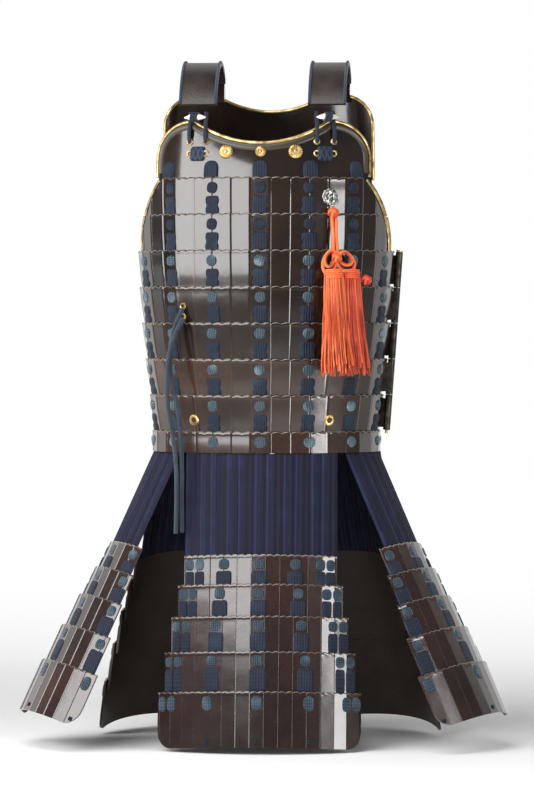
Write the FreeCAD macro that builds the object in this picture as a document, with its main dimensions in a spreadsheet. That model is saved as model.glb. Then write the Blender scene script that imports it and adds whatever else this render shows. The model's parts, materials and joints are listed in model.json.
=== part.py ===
"""Two-piece lamellar cuirass with its hanging skirt of five laced panels.

Millimetres. +Z up, the front faces -Y, and the wearer's left side lies at +X.
The origin is where the undersides of the shoulder straps rest on the shoulders.
"""
import FreeCAD
import Part
import math
import os

doc = FreeCAD.newDocument("Cuirass")
sheet = doc.addObject("Spreadsheet::Sheet", "Sizes")

# Driving dimensions, each with its own name
SIZES = {
    # Heights below the shoulder, and the rows of the trunk
    "breast_top_drop": 68, "back_top_drop": 30, "breast_foot_drop": 135,
    "row_pitch": 42, "last_row_height": 24, "row_overlap": 7, "row_lap": 2.9,
    "plate_thickness": 2,
    # Outer half width and half depth of each level of the trunk, from the neck down
    "back_top_width": 132, "back_top_depth": 92,
    "level_0_width": 138, "level_0_depth": 100,
    "level_1_width": 147, "level_1_depth": 113,
    "level_2_width": 149, "level_2_depth": 117.5,
    "level_3_width": 150, "level_3_depth": 120,
    "level_4_width": 148.5, "level_4_depth": 120.5,
    "level_5_width": 145.5, "level_5_depth": 119,
    "level_6_width": 141.5, "level_6_depth": 116,
    "level_7_width": 137, "level_7_depth": 112.5,
    "level_8_width": 133.5, "level_8_depth": 110,
    "level_9_width": 133, "level_9_depth": 110,
    "half_gap": 0.6,
    # Outlines of the breast plate, the back plate and the two rows beside the arms
    "breast_half_width": 125, "breast_corner": 44, "neck_radius": 129, "neck_drop": 93.5,
    "nape_radius": 118, "nape_drop": 48, "back_corner": 40,
    "arm_half_width": 146, "arm_corner": 127, "arm_outline_top": 84,
    "rim_width": 3.2, "rim_stand": 1.2, "seat_gap": 0.15,
    # Side hinge
    "hinge_offset": 6.6, "knuckle_radius": 4.2, "hinge_pin_radius": 1.7,
    "pin_clearance": 0.05, "knuckle_gap": 0.4, "leaf_reach": 18, "leaf_thickness": 1.2,
    "leaf_margin": 4, "lug_thickness": 3, "pin_head_radius": 3.6, "pin_head_height": 2,
    # Shoulder straps
    "strap_center": 75, "strap_width": 44, "strap_thickness": 4, "arch_radius": 90,
    "arch_setback": 8, "strap_front_angle": 64, "strap_back_angle": 41,
    "strap_barrel_width": 22, "strap_barrel_radius": 4, "strap_pin_radius": 1.6,
    "strap_pin_length": 9, "strap_relief_angle": 4, "strap_lug_foot": 40,
    # Skirt: bands of suspension laces, then five ranks of plates in each panel
    "skirt_gap": 0.4, "band_length": 117, "band_tuck": 9, "band_thickness": 3,
    "band_rise": 12, "skirt_overlap": 12, "skirt_plate": 2, "lace_thickness": 1.6,
    "lace_width": 16, "edge_lace_width": 26, "lace_start": 16, "lace_seat": 0.05,
    "rank_clearance": 0.4, "foot_lace_start": 5, "foot_lace_length": 17, "foot_corner": 20,
    "rank_1_pitch": 34, "rank_2_pitch": 37, "rank_3_pitch": 41, "rank_4_pitch": 46,
    "rank_5_pitch": 64, "edge_margin": 1,
    "center_angle": 0, "center_flare": 8, "center_radius": 165, "center_band_width": 88,
    "center_1_width": 88, "center_2_width": 95, "center_3_width": 102,
    "center_4_width": 110, "center_5_width": 117,
    "side_angle": 67.6, "side_flare": 26, "side_radius": 100, "side_band_width": 39.5,
    "side_1_width": 50, "side_2_width": 58, "side_3_width": 65,
    "side_4_width": 73, "side_5_width": 81,
    "rear_angle": 139.5, "rear_flare": 14, "rear_radius": 124, "rear_band_width": 81,
    "rear_1_width": 90, "rear_2_width": 96, "rear_3_width": 102,
    "rear_4_width": 108, "rear_5_width": 114,
    # Gilt studs and eyelets, as places across and below the top of their row
    "rosette_across": 40, "rosette_below": 37, "rosette_radius": 8.5, "small_rosette_radius": 6.5,
    "rosette_thickness": 1.8, "rosette_boss": 2.4, "rosette_boss_height": 1.4,
    "waist_eyelet_across": 78, "waist_eyelet_below": 28, "waist_bore_radius": 3.2,
    "waist_neck_radius": 4.4, "waist_flange_radius": 6.5, "flange_thickness": 1.4,
    "neck_clearance": 0.1, "neck_tail": 1.2,
    "cord_eyelet_radius": 4.2, "cord_eyelet_bore": 2.2, "cord_eyelet_thickness": 1.2,
    "strap_eyelet_inner": 64, "strap_eyelet_outer": 83, "strap_eyelet_below": 25,
    "strap_eyelet_pitch": 14, "hang_eyelet_across": 90.5, "hang_eyelet_below": 22,
    "hang_eyelet_pitch": 12,
    # Rosette plate with its ring, and the tassel
    "ring_plate_across": 79, "ring_plate_below": 22, "ring_plate_radius": 10,
    "ring_plate_thickness": 1.5, "eye_stand": 9.5, "eye_radius": 3.4, "eye_wire": 1.2,
    "ring_radius": 5.5, "ring_wire": 1.3, "post_radius": 1.6,
    "tassel_knot_radius": 6.5, "stem_radius": 2.2, "stem_length": 44, "stem_spread": 4.6,
    "tassel_lean": 6, "loop_radius": 10, "loop_wire": 2.3, "left_loop_shift": -9,
    "right_loop_shift": 13, "collar_height": 10, "collar_radius": 9.5,
    "left_tassel_shift": -5, "right_tassel_shift": 24.6, "tassel_length": 112,
    "tassel_radius": 14.2, "pom_radius": 6.2, "pom_shift": 39, "tassel_gap": 0.3,
    # Shoulder cords and their toggles
    "shoulder_cord_radius": 2.4, "shoulder_cord_rise": 34, "toggle_length": 28,
    "toggle_radius": 3.6, "toggle_tip_radius": 1, "toggle_above": 27, "toggle_stand": 8,
    "patch_width": 15, "patch_height": 15, "patch_thickness": 1.4, "patch_gap": 0.3,
    # Free cords that hang from the chest
    "hanging_cord_radius": 2.6,
}

for row, (size_name, size_value) in enumerate(SIZES.items(), start=1):
    sheet.set(f"A{row}", size_name)
    sheet.set(f"B{row}", str(size_value))
    sheet.setAlias(f"B{row}", size_name)
doc.recompute()


def val(name):
    """Give the number that a cell of the sheet holds."""
    return float(getattr(sheet, name))


def cells(expression):
    """Write the sheet's name before each of its aliases in an expression."""
    words, word = [], ""
    for sign in expression + " ":
        if sign.isalnum() or sign in "_.":
            word += sign
            continue
        words.append(f"Sizes.{word}" if word in SIZES else word)
        words.append(sign)
        word = ""
    return "".join(words).strip()


def bind(thing, **links):
    """Bind properties of an object to expressions over the sheet."""
    for prop, expression in links.items():
        thing.setExpression(prop.replace("__", "."), cells(str(expression)))
    return thing


def make(kind, name, **links):
    """Add an object of a kind and bind its sizes."""
    return bind(doc.addObject(kind, name), **links)


def spot(x=0, y=0, z=0):
    """Give a placement expression that only moves."""
    return f"placement(vector({x}; {y}; {z}); rotation(vector(0; 0; 1); 0))"


def turn(axis, angle):
    """Give a placement expression that only turns about a row axis."""
    vector = {"x": "1; 0; 0", "y": "0; 1; 0", "z": "0; 0; 1"}[axis]
    return f"placement(vector(0; 0; 0); rotation(vector({vector}); {angle}))"


def box(name, low, high):
    """Make a box between two corners of expressions."""
    size = [f"({b}) - ({a})" for a, b in zip(low, high)]
    return make("Part::Box", name, Length=size[0], Width=size[1], Height=size[2],
                Placement=spot(*low))


def rod(name, radius, height, place):
    """Make a cylinder along the local Z axis of a placement."""
    return make("Part::Cylinder", name, Radius=radius, Height=height, Placement=place)


def cut(name, base, tool):
    """Take a tool away from a base."""
    result = doc.addObject("Part::Cut", name)
    result.Base, result.Tool = base, tool
    return result


def common(name, base, tool):
    """Keep what two objects share."""
    result = doc.addObject("Part::Common", name)
    result.Base, result.Tool = base, tool
    return result


def fuse(name, shapes):
    """Join objects into one solid."""
    result = doc.addObject("Part::MultiFuse", name)
    result.Shapes = shapes
    return result


def group(name, links):
    """Hold objects together as separate solids."""
    result = doc.addObject("Part::Compound", name)
    result.Links = links
    return result


def frustum(name, top, bottom, less="0"):
    """Make a solid between two level ellipses, each a half width, half depth and drop."""
    edges = []
    for place, (width, depth, drop) in (("top", top), ("foot", bottom)):
        edges.append(make("Part::Ellipse", f"{name}_{place}", MajorRadius=f"{width} - ({less})",
                          MinorRadius=f"{depth} - ({less})", Placement=spot(z=f"-({drop})")))
    solid = doc.addObject("Part::Loft", name)
    solid.Sections, solid.Solid, solid.Ruled = edges, True, True
    return solid


def shell(name, top, bottom, out="0", inside="plate_thickness"):
    """Make an elliptic band between two levels, from inside to out past its face."""
    return cut(name, frustum(f"{name}_outer", top, bottom, f"-({out})"),
               frustum(f"{name}_inner", top, bottom, inside))


def sector(name, outer, inner, start, sweep, low, height):
    """Make a piece of a tube about the local Z axis."""
    solid = make("Part::Cylinder", f"{name}_outer", Radius=outer, Height=height, Angle=sweep,
                 Placement=f"{spot(z=low)} * {turn('z', start)}")
    hollow = rod(f"{name}_hollow", inner, f"{height} + 2", spot(z=f"{low} - 1"))
    return cut(name, solid, hollow)


# The trunk's levels and rows

REACH = "400"
SPACE_TOP, SPACE_FOOT = "100", "-1000"


def drop_of(level):
    """Give how far a level lies below the shoulder."""
    if level == 0:
        return "breast_top_drop"
    if level == 9:
        return "(breast_foot_drop + 7 * row_pitch + last_row_height)"
    return f"(breast_foot_drop + {level - 1} * row_pitch)"


def level_size(level):
    """Give the outer half width, half depth and drop of a level."""
    return f"level_{level}_width", f"level_{level}_depth", drop_of(level)


def row_levels(row):
    """Give the two ends of a row whose foot tucks inside the row below it."""
    top = level_size(row)
    if row == 8:
        return top, level_size(9)
    pitch = f"({drop_of(row + 1)} - {drop_of(row)})"
    grown = f"({pitch} + row_overlap) / {pitch}"
    width = f"({top[0]} + (level_{row + 1}_width - row_lap - {top[0]}) * {grown})"
    depth = f"({top[1]} + (level_{row + 1}_depth - row_lap - {top[1]}) * {grown})"
    return top, (width, depth, f"({drop_of(row + 1)} + row_overlap)")


def on_row(row, across, drop):
    """Place the local frame of a spot on a row's face, with -Y pointing out of it."""
    pitch = f"({drop_of(row + 1)} - {drop_of(row)})"
    part = f"(({drop}) - {drop_of(row)}) / {pitch}"
    width = f"(level_{row}_width + (level_{row + 1}_width - row_lap - level_{row}_width) * {part})"
    depth = f"(level_{row}_depth + (level_{row + 1}_depth - row_lap - level_{row}_depth) * {part})"
    rest = f"sqrt(1 - pow(({across}) / {width}; 2))"
    yaw = f"atan2(({across}) * {depth} / {width}; {width} * {rest})"
    lean = f"atan2(level_{row}_depth - level_{row + 1}_depth + row_lap; {pitch})"
    return (f"{spot(across, f'-{depth} * {rest}', f'-({drop})')}"
            f" * {turn('z', yaw)} * {turn('x', lean)}")


def facing(place, stand="0"):
    """Turn a face's frame so that local +Z points out of it, and step off it."""
    return f"{place} * {spot(y=f'-({stand})')} * {turn('x', '90')}"


front_space = box("front_space", (f"-{REACH}", f"-{REACH}", SPACE_FOOT),
                  (REACH, "-half_gap", SPACE_TOP))
back_space = box("back_space", (f"-{REACH}", "half_gap", SPACE_FOOT), (REACH, REACH, SPACE_TOP))


def rounded_outline(name, half_width, top_drop, foot_drop, corner, inset, neck=None):
    """Make a slab seen from the front, with two round top corners and a neckline."""
    slab = box(f"{name}_slab", (f"-({half_width} - {inset})", f"-{REACH}", f"-({foot_drop})"),
               (f"{half_width} - {inset}", REACH, f"-({top_drop} + {inset})"))
    doc.recompute()
    rounded = doc.addObject("Part::Fillet", f"{name}_rounded")
    rounded.Base = slab
    top = slab.Shape.BoundBox.ZMax
    radius = val(corner) - (val("rim_width") if inset == "rim_width" else 0)
    picks = [number for number, edge in enumerate(slab.Shape.Edges, start=1)
             if abs(edge.BoundBox.ZMin - top) < 0.01 and edge.BoundBox.YLength > 10]
    rounded.Edges = [(number, radius, radius) for number in picks]
    if neck is None:
        return rounded
    neck_radius, neck_drop = neck
    scoop = rod(f"{name}_scoop", f"{neck_radius} + {inset}", f"2 * {REACH}",
                f"{spot(0, REACH, f'-{neck_drop} + {neck_radius}')} * {turn('x', '90')}")
    return cut(f"{name}_outline", rounded, scoop)


BREAST = ("breast_half_width", "breast_top_drop", "breast_foot_drop + 40", "breast_corner")
BACK = ("breast_half_width", "back_top_drop", "breast_foot_drop + 40", "back_corner")
ARM = ("arm_half_width", "arm_outline_top", "breast_foot_drop + 2 * row_pitch + 30", "arm_corner")
NECK = ("neck_radius", "neck_drop")
NAPE = ("nape_radius", "nape_drop")

breast_inner = rounded_outline("breast_inner", *BREAST, "rim_width", NECK)
breast_outer = rounded_outline("breast_outer", *BREAST, "0", NECK)
back_inner = rounded_outline("back_inner", *BACK, "rim_width", NAPE)
arm_inner = rounded_outline("arm_inner", *ARM, "rim_width")
arm_outer = rounded_outline("arm_outer", *ARM, "0")

parts = {}


def keep(name, thing):
    """Record an object as a sub-part whose label names its file."""
    thing.Label = name
    parts[name] = thing
    return thing


def in_half(name, side, thing):
    """Keep the front or the back half of something."""
    return common(name, thing, front_space if side == "front" else back_space)


# Breast plate, back plate and the rows of the trunk

breast_band = shell("breast_band", *row_levels(0))
breast_half = in_half("breast_half", "front", breast_band)
keep("breast_plate", common("breast_plate_solid", breast_half, breast_inner))

back_foot = row_levels(0)[1]
back_band = shell("back_band", ("back_top_width", "back_top_depth", "back_top_drop"), back_foot)
back_half = in_half("back_half", "back", back_band)
back_plate = common("back_plate_body", back_half, back_inner)

ROW_NAMES = {1: "upper_lame_1", 2: "upper_lame_2", 3: "body_lame_1", 4: "body_lame_2",
             5: "body_lame_3", 6: "body_lame_4", 7: "body_lame_5", 8: "body_lame_6"}
WAIST_ROW = list(ROW_NAMES)[-2]
lames = {}
for row, row_name in ROW_NAMES.items():
    band = shell(f"row_{row}_band", *row_levels(row))
    for side in ("front", "back"):
        piece = in_half(f"{side}_{row_name}_half", side, band)
        if row <= 2:
            piece = common(f"{side}_{row_name}_trimmed", piece, arm_inner)
        lames[side, row] = piece

# Waist eyelets pass through the fifth row, which is bored for them
waist_holes = []
waist_eyelets = []
for hand in (-1, 1):
    place = on_row(WAIST_ROW, f"{hand} * waist_eyelet_across",
                   f"{drop_of(WAIST_ROW)} + waist_eyelet_below")
    tag = "right" if hand < 0 else "left"
    depth = "plate_thickness + neck_tail + seat_gap"
    waist_holes.append(rod(f"waist_hole_{tag}", "waist_neck_radius + neck_clearance", "20",
                           facing(place, "-10")))
    neck = rod(f"waist_neck_{tag}", "waist_neck_radius", f"{depth} + flange_thickness",
               facing(place, f"-({depth} - seat_gap)"))
    flange = rod(f"waist_flange_{tag}", "waist_flange_radius", "flange_thickness",
                 facing(place, "seat_gap"))
    bore = rod(f"waist_bore_{tag}", "waist_bore_radius", "20", facing(place, "-10"))
    waist_eyelets.append(cut(f"waist_eyelet_{tag}", fuse(f"waist_grommet_{tag}", [neck, flange]),
                             bore))
lames["front", WAIST_ROW] = cut("front_waist_lame", lames["front", WAIST_ROW],
                                fuse("waist_holes", waist_holes))

for (side, row), piece in lames.items():
    keep(f"{side}_{ROW_NAMES[row]}", piece)

# Gilt rims along the neck, the shoulders and the arm openings of the front half
breast_edge = shell("breast_edge", *row_levels(0), "rim_stand")
breast_ribbon = cut("breast_ribbon", breast_outer, breast_inner)
breast_clip = box("breast_clip", (f"-{REACH}", f"-{REACH}", "-(breast_foot_drop - 3)"),
                  (REACH, "0", "0"))
breast_rim = common("breast_rim", common("breast_rim_raw", breast_edge, breast_ribbon),
                    common("breast_rim_clip", breast_clip, front_space))
rims = [breast_rim]
arm_ribbon = cut("arm_ribbon", arm_outer, arm_inner)
for row in (1, 2):
    edge = shell(f"row_{row}_edge", *row_levels(row), "rim_stand")
    clip = box(f"row_{row}_clip", (f"-{REACH}", f"-{REACH}", f"-({drop_of(row + 1)} - 2)"),
               (REACH, "-half_gap", f"-{drop_of(row)}"))
    rims.append(common(f"arm_rim_{row}", common(f"arm_rim_{row}_raw", edge, arm_ribbon), clip))
keep("front_rims", group("front_rim_group", rims))

# Side hinge: knuckles in turn on the back and the front rows, on one leaning axis
TRUNK_FALL = "(5 * row_pitch + last_row_height)"
hinge_lean = f"atan2(level_3_width - level_9_width; {TRUNK_FALL})"
hinge_top = f"{spot('level_3_width + hinge_offset', 0, f'-{drop_of(3)}')}"
hinge_frame = f"{hinge_top} * {turn('y', hinge_lean)}"
hinge_bore = rod("hinge_bore", "hinge_pin_radius + pin_clearance", "400",
                 f"{hinge_frame} * {spot(z='-350')}")
leaves = {"front": [], "back": []}
for row in range(3, 8):
    side = "back" if row % 2 else "front"
    hand = "1" if side == "back" else "-1"
    low = f"-({drop_of(row + 1)} - leaf_margin)"
    high = f"-({drop_of(row)} + leaf_margin)"
    skin = shell(f"row_{row}_leaf_band", *row_levels(row), "seat_gap + leaf_thickness",
                 "-seat_gap")
    near, far = f"{hand} * knuckle_radius * 0.5", f"{hand} * leaf_reach"
    if side == "front":
        near, far = far, near
    window = box(f"row_{row}_leaf_window", ("0", near, low), (REACH, far, high))
    leaf = common(f"row_{row}_leaf", skin, window)
    knuckle = rod(f"row_{row}_knuckle", "knuckle_radius", "row_pitch - knuckle_gap",
                  f"{hinge_frame} * {spot(z=f'-({row - 2}) * row_pitch + knuckle_gap / 2')}")
    lug_low, lug_high = ("-lug_thickness / 2 + 4", "lug_thickness / 2 + 4")
    if side == "front":
        lug_low, lug_high = ("-lug_thickness / 2 - 4", "lug_thickness / 2 - 4")
    bridge = box(f"row_{row}_bridge", (f"level_{row + 1}_width - row_lap", lug_low, low),
                 (f"level_{row}_width + hinge_offset", lug_high, high))
    clearing = frustum(f"row_{row}_clearing", *row_levels(row), "-seat_gap")
    lug = cut(f"row_{row}_lug", bridge, clearing)
    solid = fuse(f"row_{row}_hinge_raw", [leaf, knuckle, lug])
    leaves[side].append(cut(f"row_{row}_hinge_solid", solid, hinge_bore))
keep("hinge_front_leaves", group("hinge_front_group", leaves["front"]))
keep("hinge_back_leaves", group("hinge_back_group", leaves["back"]))
pin_shank = rod("pin_shank", "hinge_pin_radius", "5 * row_pitch + 4",
                f"{hinge_frame} * {spot(z='-(5 * row_pitch + 4)')}")
pin_head = rod("pin_head", "pin_head_radius", "pin_head_height", hinge_frame)
keep("hinge_pin", fuse("hinge_pin_solid", [pin_shank, pin_head]))

# Shoulder straps: an arch over each shoulder, on trunnions at the back plate
ARCH_UP = "180"
barrel_y = "(arch_setback + (arch_radius + strap_thickness / 2) * sin(strap_back_angle * 1 deg))"
barrel_z = "(-arch_radius + (arch_radius + strap_thickness / 2) * cos(strap_back_angle * 1 deg))"
knuckles = []
knuckle_bores = []
for hand, tag in ((-1, "right"), (1, "left")):
    center = f"({hand} * strap_center)"
    arch_frame = f"{spot(center, 'arch_setback', '-arch_radius')} * {turn('y', '90')}"
    barrel_frame = f"{spot(center, barrel_y, barrel_z)} * {turn('y', '90')}"
    arch = sector(f"strap_{tag}_arch", "arch_radius + strap_thickness", "arch_radius",
                  f"{ARCH_UP} - strap_back_angle + strap_relief_angle",
                  "strap_front_angle + strap_back_angle - strap_relief_angle",
                  "-strap_width / 2", "strap_width")
    tongue = sector(f"strap_{tag}_tongue", "arch_radius + strap_thickness", "arch_radius",
                    f"{ARCH_UP} - strap_back_angle", "strap_relief_angle + 1",
                    "-strap_barrel_width / 2", "strap_barrel_width")
    bind(arch, Placement=arch_frame)
    bind(tongue, Placement=arch_frame)
    barrel = rod(f"strap_{tag}_barrel", "strap_barrel_radius", "strap_barrel_width",
                 f"{barrel_frame} * {spot(z='-strap_barrel_width / 2')}")
    half_pin = "(strap_barrel_width / 2 + strap_pin_length)"
    trunnion = rod(f"strap_{tag}_trunnion", "strap_pin_radius", f"2 * {half_pin}",
                   f"{barrel_frame} * {spot(z=f'-{half_pin}')}")
    keep(f"shoulder_strap_{tag}", fuse(f"strap_{tag}_solid", [arch, tongue, barrel, trunnion]))
    for end in (-1, 1):
        name = f"{tag}_{'inner' if end * hand < 0 else 'outer'}"
        low = "strap_barrel_width / 2 + knuckle_gap"
        base = low if end > 0 else f"-({low}) - strap_pin_length"
        knuckle = rod(f"strap_knuckle_{name}", "knuckle_radius", "strap_pin_length",
                      f"{barrel_frame} * {spot(z=base)}")
        x_low = f"{center} + {base}"
        x_high = f"{center} + {base} + strap_pin_length"
        middle = f"({center} + {base} + strap_pin_length / 2)"
        plate_y = f"(back_top_depth + 2) * sqrt(1 - pow({middle} / back_top_width; 2))"
        inward = end * hand < 0
        lug_y = (f"{barrel_y} - knuckle_radius", plate_y) if inward else (
            f"{plate_y} - plate_thickness - 6", f"{barrel_y} + knuckle_radius")
        lug = box(f"strap_lug_{name}", (x_low, lug_y[0], "-strap_lug_foot"),
                  (x_high, lug_y[1], barrel_z))
        bore = rod(f"strap_bore_{name}", "strap_pin_radius + pin_clearance", "strap_pin_length + 2",
                   f"{barrel_frame} * {spot(z=f'{base} - 1')}")
        knuckles += [knuckle, lug]
        knuckle_bores.append(bore)
back_solid = fuse("back_plate_raw", [back_plate] + knuckles)
keep("back_top_plate", cut("back_top_solid", back_solid, fuse("strap_bores", knuckle_bores)))

# Skirt panels: a suspension band, then five ranks of plates, each outside the one above
RANKS = range(1, 6)
PANELS = {"center": ("center", 1, 5), "right": ("side", -1, 3), "left": ("side", 1, 3),
          "back_right": ("rear", -1, 5), "back_left": ("rear", 1, 5)}
WAIST_Z = f"-({drop_of(9)} + skirt_gap)"


def panel_frame(kind, hand):
    """Place a panel's local frame: hinge line on X, outwards -Y, plates hang down."""
    angle = f"({hand} * {kind}_angle * 1 deg)"
    width, depth = "(level_9_width - skirt_gap)", "(level_9_depth - skirt_gap)"
    yaw = f"atan2({depth} * sin({angle}); {width} * cos({angle}))"
    return (f"{spot(f'{width} * sin({angle})', f'-{depth} * cos({angle})', WAIST_Z)}"
            f" * {turn('z', yaw)} * {turn('x', f'-{kind}_flare')}"
            f" * {spot(y=f'{kind}_radius')}")


def rank_drop(rank):
    """Give how far a rank's top edge lies below the hinge line."""
    return "(" + " + ".join(["band_length"] + [f"rank_{n}_pitch" for n in range(1, rank)]) + ")"


def rank_radius(kind, rank):
    """Give the inner radius of a rank's plate."""
    step = "(skirt_plate + lace_thickness + lace_seat + rank_clearance)"
    return f"({kind}_radius + rank_clearance + {rank - 1} * {step})"


def lace_columns(kind, rank, count, radius, half_angle):
    """Give the start angle and sweep of each lace on a rank."""
    columns = []
    for column in range(count):
        width = "edge_lace_width" if column in (0, count - 1) and count > 3 else "lace_width"
        sweep = f"({width} / {radius} * 180 / pi)"
        edge = f"(({half_angle}) - ({sweep}) / 2 - edge_margin / {radius} * 180 / pi)"
        middle = f"({2 * column / (count - 1) - 1} * {edge})"
        columns.append((f"-90 + {middle} - ({sweep}) / 2", sweep))
    return columns


def round_corners(name, plate):
    """Round the two lower corners of a plate that hangs down."""
    doc.recompute()
    foot = plate.Shape.BoundBox.ZMin
    picks = [number for number, edge in enumerate(plate.Shape.Edges, start=1)
             if edge.BoundBox.ZMax - foot < 0.01 and edge.Length < 2 * val("skirt_plate")]
    rounded = doc.addObject("Part::Fillet", name)
    rounded.Base = plate
    rounded.Edges = [(number, val("foot_corner"), val("foot_corner")) for number in picks]
    return rounded


for panel, (kind, hand, lace_count) in PANELS.items():
    frame = panel_frame(kind, hand)
    half = f"asin({kind}_band_width / {kind}_radius)"
    band = sector(f"{panel}_band_raw", f"{kind}_radius", f"{kind}_radius - band_thickness",
                  f"-90 - ({half}) / 1 deg", f"2 * ({half}) / 1 deg",
                  "-(band_length + band_tuck)", "band_length + band_tuck + band_rise")
    bind(band, Placement=frame)
    below = box(f"{panel}_below", (f"-{REACH}", f"-{REACH}", SPACE_FOOT), (REACH, REACH, WAIST_Z))
    keep(f"skirt_{panel}_band", common(f"{panel}_band_solid", band, below))
    for rank in RANKS:
        radius = rank_radius(kind, rank)
        half = f"(asin({kind}_{rank}_width / ({radius} + skirt_plate)) / 1 deg)"
        top = rank_drop(rank)
        last = rank == RANKS[-1]
        foot = f"({top} + rank_{rank}_pitch" + (")" if last else " + skirt_overlap)")
        name = f"{panel}_rank_{rank}"
        plate = sector(f"{name}_plate", f"{radius} + skirt_plate", radius,
                       f"-90 - {half}", f"2 * {half}", f"-{foot}", f"{foot} - {top}")
        if last:
            plate = round_corners(f"{name}_rounded", plate)
        laces = []
        face = f"({radius} + skirt_plate + lace_seat)"
        first = "foot_lace_start" if last else "lace_start"
        length = "foot_lace_length" if last else f"({foot} - {top} - lace_start - 1)"
        for number, (start, sweep) in enumerate(
                lace_columns(kind, rank, lace_count, face, half), start=1):
            laces.append(sector(f"{name}_lace_{number}", f"{face} + lace_thickness", face, start,
                                sweep, f"-({top} + {first} + {length})", length))
        whole = group(f"{name}_group", [plate] + laces)
        bind(whole, Placement=frame)
        keep(f"skirt_{panel}_lame_{rank}", whole)

# Gilt rosettes and eyelets
studs = list(waist_eyelets)


def disc(name, place, radius, thickness, hole=None, boss=None):
    """Make a flat stud on a face, with a hole or a raised middle."""
    base = rod(f"{name}_disc", radius, thickness, facing(place, "seat_gap"))
    if hole:
        return cut(name, base, rod(f"{name}_hole", hole, "10", facing(place, "-5")))
    if boss:
        crown = rod(f"{name}_boss", boss, f"{thickness} + rosette_boss_height",
                    facing(place, "seat_gap"))
        return fuse(name, [base, crown])
    return base


for number, (across, radius) in enumerate((("-rosette_across", "rosette_radius"),
                                           ("0", "small_rosette_radius"),
                                           ("rosette_across", "rosette_radius")), start=1):
    place = on_row(0, across, f"{drop_of(0)} + rosette_below")
    studs.append(disc(f"rosette_{number}", place, radius, "rosette_thickness",
                      boss="rosette_boss"))
UPPER_EYELETS = f"({drop_of(0)} + strap_eyelet_below)"
LOWER_EYELETS = f"({UPPER_EYELETS} + strap_eyelet_pitch)"
for hand, tag in ((-1, "right"), (1, "left")):
    for level, drop in (("upper", UPPER_EYELETS), ("lower", LOWER_EYELETS)):
        for reach in ("inner", "outer"):
            place = on_row(0, f"{hand} * strap_eyelet_{reach}", drop)
            studs.append(disc(f"strap_eyelet_{tag}_{level}_{reach}", place, "cord_eyelet_radius",
                              "cord_eyelet_thickness", hole="cord_eyelet_bore"))
for number in range(2):
    place = on_row(4, "-hang_eyelet_across",
                   f"{drop_of(4)} + hang_eyelet_below + {number} * hang_eyelet_pitch")
    studs.append(disc(f"hang_eyelet_{number + 1}", place, "cord_eyelet_radius",
                      "cord_eyelet_thickness", hole="cord_eyelet_bore"))
keep("gilt_studs", group("gilt_stud_group", studs))

# Ring plate: a rosette with an eye that the ring hangs in
plate_place = on_row(1, "ring_plate_across", f"{drop_of(1)} + ring_plate_below")
ring_disc = rod("ring_disc", "ring_plate_radius", "ring_plate_thickness",
                facing(plate_place, "seat_gap"))
ring_post = rod("ring_post", "post_radius", "eye_stand - eye_radius",
                facing(plate_place, "seat_gap"))
eye_place = f"{plate_place} * {spot(y='-eye_stand')}"
ring_eye = make("Part::Torus", "ring_eye", Radius1="eye_radius", Radius2="eye_wire",
                Placement=f"{eye_place} * {turn('y', '90')}")
keep("ring_plate", fuse("ring_plate_solid", [ring_disc, ring_post, ring_eye]))

# The tassel hangs from the ring and leans out over the swell of the chest
row_lean = "atan2(level_1_depth - level_2_depth + row_lap; row_pitch)"
tassel_frame = f"{eye_place} * {turn('x', f'-({row_lean})')} * {turn('x', '-tassel_lean')}"
tassel_ring = make("Part::Torus", "tassel_ring_solid", Radius1="ring_radius", Radius2="ring_wire",
                   Placement=f"{tassel_frame} * {spot(z='-ring_radius')} * {turn('x', '90')}")
keep("tassel_ring", tassel_ring)
knot_z = "-(2 * ring_radius + ring_wire + tassel_gap + tassel_knot_radius)"
knot = make("Part::Sphere", "tassel_knot", Radius="tassel_knot_radius",
            Placement=f"{tassel_frame} * {spot(z=knot_z)}")
stem_top = f"({knot_z} - tassel_knot_radius * 0.6)"
stem_foot = f"({stem_top} - stem_length)"
pieces = [knot]
for hand in (-1, 1):
    pieces.append(rod(f"tassel_stem_{'a' if hand < 0 else 'b'}", "stem_radius", "stem_length",
                      f"{tassel_frame} * {spot(x=f'{hand} * stem_spread / 2', z=stem_foot)}"))
loop_z = f"({stem_foot} - loop_radius)"
for tag in ("left", "right"):
    pieces.append(make("Part::Torus", f"tassel_loop_{tag}", Radius1="loop_radius",
                       Radius2="loop_wire",
                       Placement=f"{tassel_frame} * {spot(x=f'{tag}_loop_shift', z=loop_z)}"
                                 f" * {turn('x', '90')}"))
collar_top = f"({loop_z} - loop_radius)"
bow_foot = f"{collar_top} - collar_height"
bow_knot = box("tassel_bow_knot", ("left_tassel_shift", "-stem_radius", bow_foot),
               ("right_tassel_shift", "stem_radius", f"{stem_foot} + 1"))
bow_corner = spot("left_tassel_shift", "-stem_radius", bow_foot)
bind(bow_knot, Placement=f"{tassel_frame} * {bow_corner}")
pieces.append(bow_knot)
for tag in ("left", "right"):
    shift = f"{tag}_tassel_shift"
    pieces.append(rod(f"tassel_collar_{tag}", "collar_radius", "collar_height",
                      f"{tassel_frame} * {spot(x=shift, z=bow_foot)}"))
    skirt = make("Part::Cone", f"tassel_skirt_{tag}", Radius1="tassel_radius",
                 Radius2="collar_radius", Height="tassel_length",
                 Placement=f"{tassel_frame} * "
                           f"{spot(x=shift, z=f'{collar_top} - collar_height - tassel_length')}")
    pieces.append(skirt)
pieces.append(make("Part::Sphere", "tassel_pom", Radius="pom_radius",
                   Placement=f"{tassel_frame} * {spot(x='pom_shift', z=bow_foot)}"))
keep("tassel", fuse("tassel_solid", pieces))

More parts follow.
